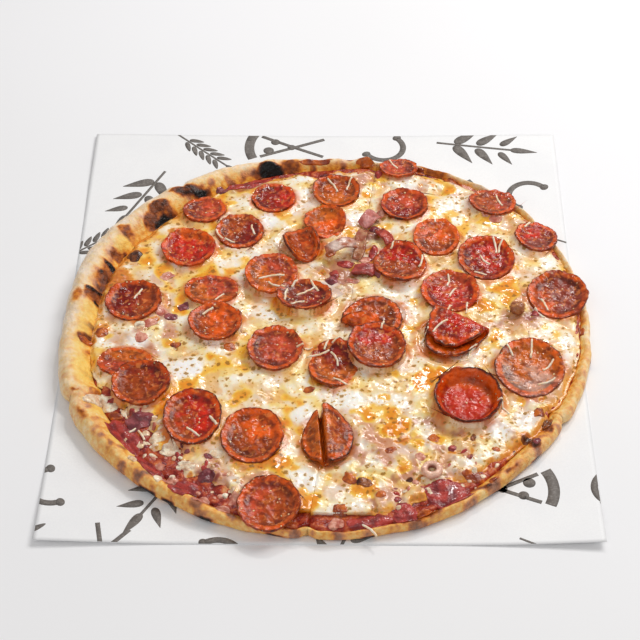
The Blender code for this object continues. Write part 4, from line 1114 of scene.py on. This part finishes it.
def round_masks(top, disc_x, disc_y, facing):
    """The colour of a round, side to side, painted shade in a ring just inside its wall, and its
    crisp rim.
    """
    x, y = disc_x * top.wide / 2 + 50 * top.x, disc_y * top.deep / 2 + 50 * top.y
    share, around = np.hypot(disc_x, disc_y), np.arctan2(disc_y, disc_x)
    side = radians(top.side)
    toward = disc_x * cos(side) + disc_y * sin(side)
    patchy = 0.55 * wander(x, y, 9, 2.6) + 0.3 * wander(x, y, 4, 6.7)
    second = smooth(-0.25, 0.25, toward - 1 + 2 * top.reach + patchy)
    tone = two_tone((SAUSAGE_COLOURS[top.main], SAUSAGE_COLOURS[top.second]), second)
    calm = 0.35 if top.form == "deep" else 1.0
    shade = 0.26 * wander(x, y, 6.0, 9.4) + 0.30 * wander(x, y, 2.4, 4.4)
    tone[:, :3] *= (1 + calm * shade)[:, None]
    uneven = wander(4 * np.cos(around) + top.x, 4 * np.sin(around), 1.6, 3.1)
    wall = max(0.76, FORMS[top.form].floor)
    # Painted shade: a darker ring just inside the wall, where the floor turns up into it
    hollow_shade = smooth(wall - 0.28, wall, share) * smooth(wall + 0.14, wall, share)
    tone[:, :3] *= (1 - np.clip(0.40 + 0.5 * uneven, 0.1, 0.6) * hollow_shade)[:, None]
    ring = smooth(wall, wall + 0.08, share) * np.clip(0.7 + 1.1 * uneven, 0.15, 1)
    tone += (paint("orange") - tone) * (0.85 * ring)[:, None]
    if top.form == "deep":
        tone += (paint("rose") - tone) * (0.15 * smooth(0.66, 0.58, share))[:, None]
    frayed = wander(9 * np.cos(around) + top.y, 9 * np.sin(around), 1.2, 5.9)
    start = 0.985 - 0.07 * top.rim + 0.03 * uneven + 0.02 * frayed
    rim = smooth(start, start + 0.04, share) * np.clip(0.5 + 1.4 * uneven + 0.5 * top.rim, 0.1, 1)
    rim *= smooth(-0.5, 0.2, facing)
    blot = smooth(0.30, 0.55, wander(x, y, 6, 8.8)) * 0.4 * calm
    return {
        "tone": np.clip(tone, 0, 1),
        "crisp": np.clip((0.35 + 0.6 * top.rim) * rim + blot, 0, 0.96),
        "grain": np.full(x.shape, calm),
    }


def paint(name):
    return np.array([*linear(SAUSAGE_COLOURS[name]), 1.0])


def make_strip(number, spec, material):
    """A strip of sausage, arched along its length and wrinkled."""
    x0, y0, length, width, arch, turn = spec
    bm, across, along = unit_grid(40, 12)
    run, beside = 2 * across - 1, along - 0.5
    x = run * length / 2
    y = beside * width * (1 - 0.25 * run ** 4) + 1.2 * np.sin(2.5 * run)
    z = arch * (1 - run ** 2) + 0.8 * (beside * 2) ** 2 + 0.4 * wander(x + number * 40, y, 3, 2.2)
    move_vertices(bm, x, y, z)
    bm.normal_update()
    bmesh.ops.solidify(bm, geom=bm.faces[:], thickness=STRIP_THICK)
    turn_outwards(bm)
    turn_piece(bm, turn)
    set_down(bm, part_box(f"meat_strip_{number}"), x0, y0, 0)
    x, y, _ = vertex_places(bm)
    tone = two_tone(STRIP_COLOURS[number - 1], smooth(-0.3, 0.4, wander(x, y, 5, number + 0.5)))
    masks = {"tone": tone, "crisp": 0.5 * smooth(0.2, 0.6, wander(x, y, 4, 7.1))}
    return publish(f"sausage_strip_{number}", bm, material, masks,
                   [f"meat_strip_{number}"])


def make_nugget(material):
    """The browned crumb, a lumpy ball a little wider than high."""
    x0, y0, across, height = NUGGET
    bm = bmesh.new()
    bmesh.ops.create_icosphere(bm, subdivisions=4, radius=1)
    for v in bm.verts:
        size = 1 + 0.24 * noise.noise(v.co * 1.7) + 0.18 * noise.noise(v.co * 3.6)
        v.co = Vector((v.co.x * across / 2, v.co.y * across / 2, v.co.z * height / 2)) * size
    set_down(bm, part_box("meat_nugget"), x0, y0, 0.8)
    x, y, z = vertex_places(bm)
    tone = two_tone(("9c5a30", "cc8c54"), smooth(-0.3, 0.4, wander(x, y, 3, 1.5)))
    masks = {"tone": tone, "crisp": 0.4 * smooth(0.1, 0.5, wander(x, z, 3, 7.1))}
    return publish("browned_nugget", bm, material, masks, ["meat_nugget"])


def make_ring(material):
    """The small pale ring, darker inside."""
    x0, y0, across, thick = RING_BIT
    bm = bmesh.new()
    section = bmesh.ops.create_circle(bm, segments=16, radius=thick / 2)["verts"]
    turn_piece(bm, 90, "X", section)
    shift(bm, ((across - thick) / 2, 0, 0), section)
    bmesh.ops.spin(bm, geom=bm.verts[:] + bm.edges[:], cent=(0, 0, 0), axis=(0, 0, 1),
                   angle=2 * pi, steps=48, use_merge=True)
    bmesh.ops.remove_doubles(bm, verts=bm.verts[:], dist=0.01)
    turn_outwards(bm)
    for v in bm.verts:
        v.co *= 1 + 0.08 * noise.noise(v.co / 3)
    set_down(bm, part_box("soft_ring"), x0, y0, 0.6)
    x, y, _ = vertex_places(bm)
    inner = smooth(3.2, 1.6, np.hypot(x - x0, y - y0))
    masks = {"tone": two_tone(("eebfa6", "96402f"), inner), "crisp": 0.3 * inner}
    return publish("pale_ring", bm, material, masks, ["soft_ring"])


def crumbs():
    """Small lumps strewn where sauce shows, in the same terms as the bits."""
    chance = Random(5)
    for first, last, count in ((204, 262, 90), (286, 312, 34)):
        for _ in range(count):
            direction = np.array([radians(chance.uniform(first, last))])
            inset = ring_value(RIM_WIDTH, direction)[0] + chance.uniform(1, 22)
            reach = edge_at(direction)[0] - inset
            x, y = cos(direction[0]) * reach, sin(direction[0]) * reach
            size = chance.uniform(2.0, 4.8)
            colour = chance.choice(("pink", "nut", "cream", "cream", "plum", "ham_red"))
            deep, turn = size * chance.uniform(0.5, 0.9), chance.uniform(0, 180)
            yield x, y, size, deep, 0.5 * size, turn, colour


def make_bits(surface, material):
    """Scraps of ham, meat and browned cheese: flattened lumps laid on whatever is under them."""
    heap = bmesh.new()
    tones = []
    for place, (x0, y0, wide, deep, height, turn, colour) in enumerate(BITS + tuple(crumbs())):
        bm = bmesh.new()
        bmesh.ops.create_icosphere(bm, subdivisions=3 if wide < 5 else 4, radius=1)
        x, y, z = vertex_places(bm)
        flat = np.sign(z) * np.abs(z) ** 0.7
        lumps = 1 + 0.30 * wander(x * 1.3 + 9 * place, y * 1.3 + z, 1, 4.4)
        lumps += 0.14 * wander(x * 3 + 5 * place, y * 3 - z, 1, 1.8)
        px, py = turned(x * lumps * wide / 2, y * lumps * deep / 2, turn)
        px, py = x0 + px, y0 + py
        inside = np.minimum(1, (edge_at(np.arctan2(py, px)) - 3) / np.hypot(px, py))
        px, py = px * inside, py * inside
        base = np.array([surface(a, b) for a, b in zip(px, py)])
        base = np.maximum(base, np.median(base) - 2.5)
        rise = flat * height / 2 * (1 + 0.3 * wander(px, py, 3, 7.3))
        move_vertices(bm, px, py, base + rise - 0.15 * height)
        share = smooth(-0.35, 0.45, wander(px, py, 4.5, 2.9) + 0.4 * wander(px, py, 1.8, 6.1))
        tones.append(two_tone(BIT_COLOURS[colour], share))
        join(heap, bm)
    x, y, _ = vertex_places(heap)
    masks = {"tone": np.concatenate(tones), "crisp": 0.5 * smooth(0.3, 0.6, wander(x, y, 3.5, 7.1))}
    return publish("cooked_bits", heap, material, masks)


def surface_under(carriers):
    """A function that tells how high the topmost of the carriers is at a place."""
    trees = []
    for piece in carriers:
        corners = np.array([v[:] for v in piece.bound_box])
        tree = BVHTree.FromObject(piece, bpy.context.evaluated_depsgraph_get())
        trees.append((corners.min(axis=0), corners.max(axis=0), tree))

    def surface(x, y):
        above = Vector(((x + PIZZA_CENTRE[0]) * MM, (y + PIZZA_CENTRE[1]) * MM, 0.1))
        best = DOUGH_BASE
        for low, high, tree in trees:
            if low[0] <= above.x <= high[0] and low[1] <= above.y <= high[1]:
                hit = tree.ray_cast(above, Vector((0, 0, -1)))[0]
                if hit:
                    best = max(best, hit.z / MM)
        return best

    return surface


def make_shreds(surface, material):
    """The grated cheese: bent rods laid over whatever is under them."""
    chance = Random(7)
    heap = bmesh.new()
    for x0, y0, turn, length in SHREDS:
        bm = bmesh.new()
        curve = chance.uniform(0.25, 0.8) * chance.choice((-1, 1))
        radius = length / abs(curve)
        bmesh.ops.create_circle(bm, segments=8, radius=SHRED_RADIUS, cap_ends=False)
        turn_piece(bm, 90, "Y")
        centre = (0, radius if curve > 0 else -radius, 0)
        bmesh.ops.spin(bm, geom=bm.verts[:] + bm.edges[:], cent=centre, axis=(0, 0, 1),
                       angle=curve, steps=12)
        bmesh.ops.holes_fill(bm, edges=[e for e in bm.edges if e.is_boundary], sides=0)
        turn_outwards(bm)
        x, y, z = vertex_places(bm)
        x, y = x - x.mean(), y - y.mean()
        y = y + 0.5 * wander(x + 7 * x0, 0 * x, 3.0, 1.1)
        c, s = cos(radians(turn) - curve / 2), sin(radians(turn) - curve / 2)
        px, py = x0 + x * c - y * s, y0 + x * s + y * c
        base = np.array([surface(a, b) for a, b in zip(px, py)])
        move_vertices(bm, px, py, np.maximum(base, CHEESE_BASE + 1) + z)
        join(heap, bm)
    return publish("grated_cheese", heap, material, {})


def to_pizza(x, y):
    return x + PAPER_CENTRE[0] - PIZZA_CENTRE[0], y + PAPER_CENTRE[1] - PIZZA_CENTRE[1]


def paper_height(x, y):
    """Height of the sheet's underside; x and y are from the sheet's centre."""
    lift = np.zeros(x.shape)
    clear = np.hypot(*to_pizza(x, y)) - PAPER_FLAT_RADIUS
    for (side_x, side_y), height in PAPER_CORNER_LIFT.items():
        own = (np.sign(x) == side_x) & (np.sign(y) == side_y)
        lift = np.where(own, height * smooth(0, 62, clear), lift)
    ripple = 0.35 * wander(x, y, 46, 3.3) * smooth(-8, 14, clear)
    return lift + np.maximum(0, ripple + 0.05 * smooth(-8, 14, clear))


def make_paper(material):
    """The sheet, flat under the pizza and lifting towards its corners."""
    bm, across, along = unit_grid(int(PAPER_WIDTH / PAPER_CELL), int(PAPER_DEPTH / PAPER_CELL))
    x, y = (across - 0.5) * PAPER_WIDTH, (along - 0.5) * PAPER_DEPTH
    z = paper_height(x, y)
    move_vertices(bm, *to_pizza(x, y), z)
    for v in grow(bm):
        v.co.z += PAPER_THICK
    turn_outwards(bm)
    return publish("food_paper", bm, material, {}, ["paper_sheet"])


def print_disc(bm, x, y, wide, deep, turn=0.0, point=0.0, band=0.0):
    """A filled oval, drawn to a point at one end, or only a band along its outline."""
    ring = bmesh.ops.create_circle(bm, segments=28, radius=0.5, cap_ends=True)["verts"]
    for v in ring:
        v.co.y *= 1 - point * (v.co.x + 0.5)
        v.co.x, v.co.y = v.co.x * wide, v.co.y * deep
    face = ring[0].link_faces[0]
    if band:
        bmesh.ops.inset_region(bm, faces=[face], thickness=band, use_even_offset=True)
        ring = list({v for f in ring[0].link_faces for v in f.verts} | set(ring) | set(face.verts))
        bmesh.ops.delete(bm, geom=[face], context="FACES_ONLY")
    turn_piece(bm, turn, verts=ring)
    shift(bm, (x, y, 0), ring)


def print_arc(bm, radius, band, start, end):
    """A curved band round the motif's middle."""
    edge = [bm.verts.new(Matrix.Rotation(radians(start), 3, "Z") @ Vector((r, 0, 0)))
            for r in (radius - band / 2, radius + band / 2)]
    bmesh.ops.spin(bm, geom=edge + [bm.edges.new(edge)], cent=(0, 0, 0), axis=(0, 0, 1),
                   angle=radians(end - start), steps=24)


def print_bar(bm, segments, length, width):
    """A straight bar through the motif's middle."""
    bar = bmesh.ops.create_grid(bm, x_segments=segments, y_segments=1, size=0.5)["verts"]
    bmesh.ops.scale(bm, verts=bar, vec=(length, width, 1))
    return bar


def print_wedge(bm):
    """A wedge of pizza: crust arc, two straight sides and three rounds."""
    print_arc(bm, 27, 6.5, 62, 118)
    for turn in (65, 115):
        bar = print_bar(bm, 8, 46, 2.6)
        turn_piece(bm, turn, verts=bar)
        shift(bm, (cos(radians(turn)) * 1.5, -1.5, 0), bar)
    for x, y, size in ((-4, 14, 7), (5, 10, 6), (0, -1, 5.5)):
        print_disc(bm, x, y, size, size)


def print_sprig(bm):
    """A stem with pairs of pointed leaves."""
    print_bar(bm, 10, 54, 1.8)
    for step, length in enumerate((21, 19, 15)):
        for side in (1, -1):
            x = -14 + 14 * step
            print_disc(bm, x + 6, side * 9, length, length * 0.5, side * 48, 0.85)
    print_disc(bm, 31, 0, 18, 8, 0, 0.85)


def print_mushroom(bm):
    """A mushroom cut down the middle, in outline."""
    print_arc(bm, 13, 4, -8, 188)
    for x in (-13.2, 13.2):
        print_disc(bm, x, -2, 6, 5)
    print_disc(bm, 0, -8, 9, 20, band=2.2)


def print_olives(bm):
    """Three olive rings."""
    for x, y, size in ((-9, 0, 15), (8, 6, 12), (6, -9, 10)):
        print_disc(bm, x, y, size, size, band=3.2)


def print_wheat(bm):
    """An ear of wheat."""
    print_bar(bm, 10, 58, 1.4)
    for step in range(5):
        for side in (1, -1):
            print_disc(bm, -4 + 6.5 * step, side * 4, 10, 4.4, side * 32, 0.5)
    print_disc(bm, 33, 0, 10, 4.4, 0, 0.5)


def make_print(material):
    """Kitchen motifs in staggered rows, cut off at the sheet's edges."""
    sheet = bmesh.new()
    motifs = (print_wedge, print_mushroom, print_sprig, print_olives, print_wheat)
    for row in range(-4, 5):
        for column in range(-4, 5):
            x = PRINT_PITCH[0] * (column + 0.5 * (row % 2)) + PRINT_START[0]
            y = PRINT_PITCH[1] * row + PRINT_START[1]
            pizza_x, pizza_y = to_pizza(x, y)
            off_sheet = abs(x) > PAPER_WIDTH / 2 + 30 or abs(y) > PAPER_DEPTH / 2 + 30
            if off_sheet or pizza_x ** 2 + pizza_y ** 2 < PRINT_HIDDEN_RADIUS ** 2:
                continue
            bm = bmesh.new()
            motifs[(2 * row + column) % len(motifs)](bm)
            turn_piece(bm, 73 * row + 131 * column)
            shift(bm, (x, y, 0))
            join(sheet, bm)
    halves = ((Vector((1, 0, 0)), PAPER_WIDTH / 2), (Vector((0, 1, 0)), PAPER_DEPTH / 2))
    for axis, half in halves:
        for side in (1, -1):
            cut_plane(sheet, axis * side * (half - 0.3), axis * side, clear_outer=True)
        for step in np.arange(-half + 5, half, 5):
            cut_plane(sheet, axis * float(step), axis)
    x, y, _ = vertex_places(sheet)
    z = paper_height(x, y) + PAPER_THICK
    move_vertices(sheet, *to_pizza(x, y), z - INK_THICK)
    for v in grow(sheet):
        v.co.z += 2 * INK_THICK
    turn_outwards(sheet)
    return publish("printed_motifs", sheet, material, {})


def cut_plane(bm, place, normal, clear_inner=False, clear_outer=False):
    bmesh.ops.bisect_plane(bm, geom=bm.verts[:] + bm.edges[:] + bm.faces[:], dist=0.001,
                           plane_co=place, plane_no=normal, clear_inner=clear_inner,
                           clear_outer=clear_outer)


def add_floor():
    bm = bmesh.new()
    bmesh.ops.create_grid(bm, x_segments=1, y_segments=1, size=3.0)
    mesh = to_mesh(bm, "floor")
    look = Finish("studio_floor", 0.7, 0.2)
    colour = look.mix(look.window(look.mottle(400), 0.3, 0.7), "f1f1f3", "eeeeef")
    mesh.materials.append(look.done(colour))
    floor = put("floor", mesh)


def add_lamp(name, place, size, power, colour):
    lamp = bpy.data.lights.new(name, "AREA")
    lamp.shape = "DISK"
    lamp.size = size
    lamp.energy = power
    lamp.color = colour
    holder = put(name, lamp)
    holder.location = place
    holder.rotation_euler = (-Vector(place)).to_track_quat("-Z", "Y").to_euler()


def add_lights():
    world = bpy.data.worlds.new("studio")
    world.use_nodes = True
    background = world.node_tree.nodes["Background"].inputs
    background["Color"].default_value = (1.0, 0.99, 0.985, 1)
    background["Strength"].default_value = 0.42
    bpy.context.scene.world = world
    add_lamp("window", (0.80, 0.62, 1.10), 0.7, 10.8, (1.0, 0.985, 0.97))
    add_lamp("spark", (0.30, 1.00, 1.15), 0.14, 4.5, (1.0, 0.99, 0.98))
    add_lamp("fill", (-0.25, -1.0, 1.2), 1.2, 4.4, (1.0, 0.99, 0.98))
    bpy.context.scene.view_settings.view_transform = "Standard"


def add_camera():
    camera = bpy.data.cameras.new("camera")
    camera.lens = CAMERA_LENS
    camera.sensor_width = CAMERA_SENSOR
    forward = Vector((sin(CAMERA_YAW) * cos(CAMERA_PITCH), cos(CAMERA_YAW) * cos(CAMERA_PITCH),
                      -sin(CAMERA_PITCH)))
    right = Vector((cos(CAMERA_YAW), -sin(CAMERA_YAW), 0))
    up = right.cross(forward)
    rolled_right = cos(CAMERA_ROLL) * right + sin(CAMERA_ROLL) * up
    rolled_up = cos(CAMERA_ROLL) * up - sin(CAMERA_ROLL) * right
    holder = put("camera", camera)
    holder.matrix_world = Matrix((rolled_right, rolled_up, -forward)).transposed().to_4x4()
    holder.location = CAMERA_PLACE
    bpy.context.scene.camera = holder


def build():
    add_camera()
    add_lights()
    add_floor()
    make_paper(paper_finish())
    make_print(ink_finish())
    cheese, crust = cheese_finish(), crust_finish()
    sauce, sausage = sauce_finish(), sausage_finish()
    rounds = [make_round(top, sausage) for top in ROUNDS]
    layers = []
    for number, start, end in slice_angles():
        layers.append(make_crust(number, start, end, crust))
        layers.append(make_sauce(number, start, end, sauce))
        layers.append(make_cheese(number, start, end, cheese))
    meat = meat_finish()
    strips = [make_strip(number, spec, meat) for number, spec in enumerate(MEAT_STRIPS, 1)]
    make_nugget(meat)
    make_ring(meat)
    make_bits(surface_under(layers), meat)
    make_shreds(surface_under(rounds + layers + strips), shred_finish())


build()
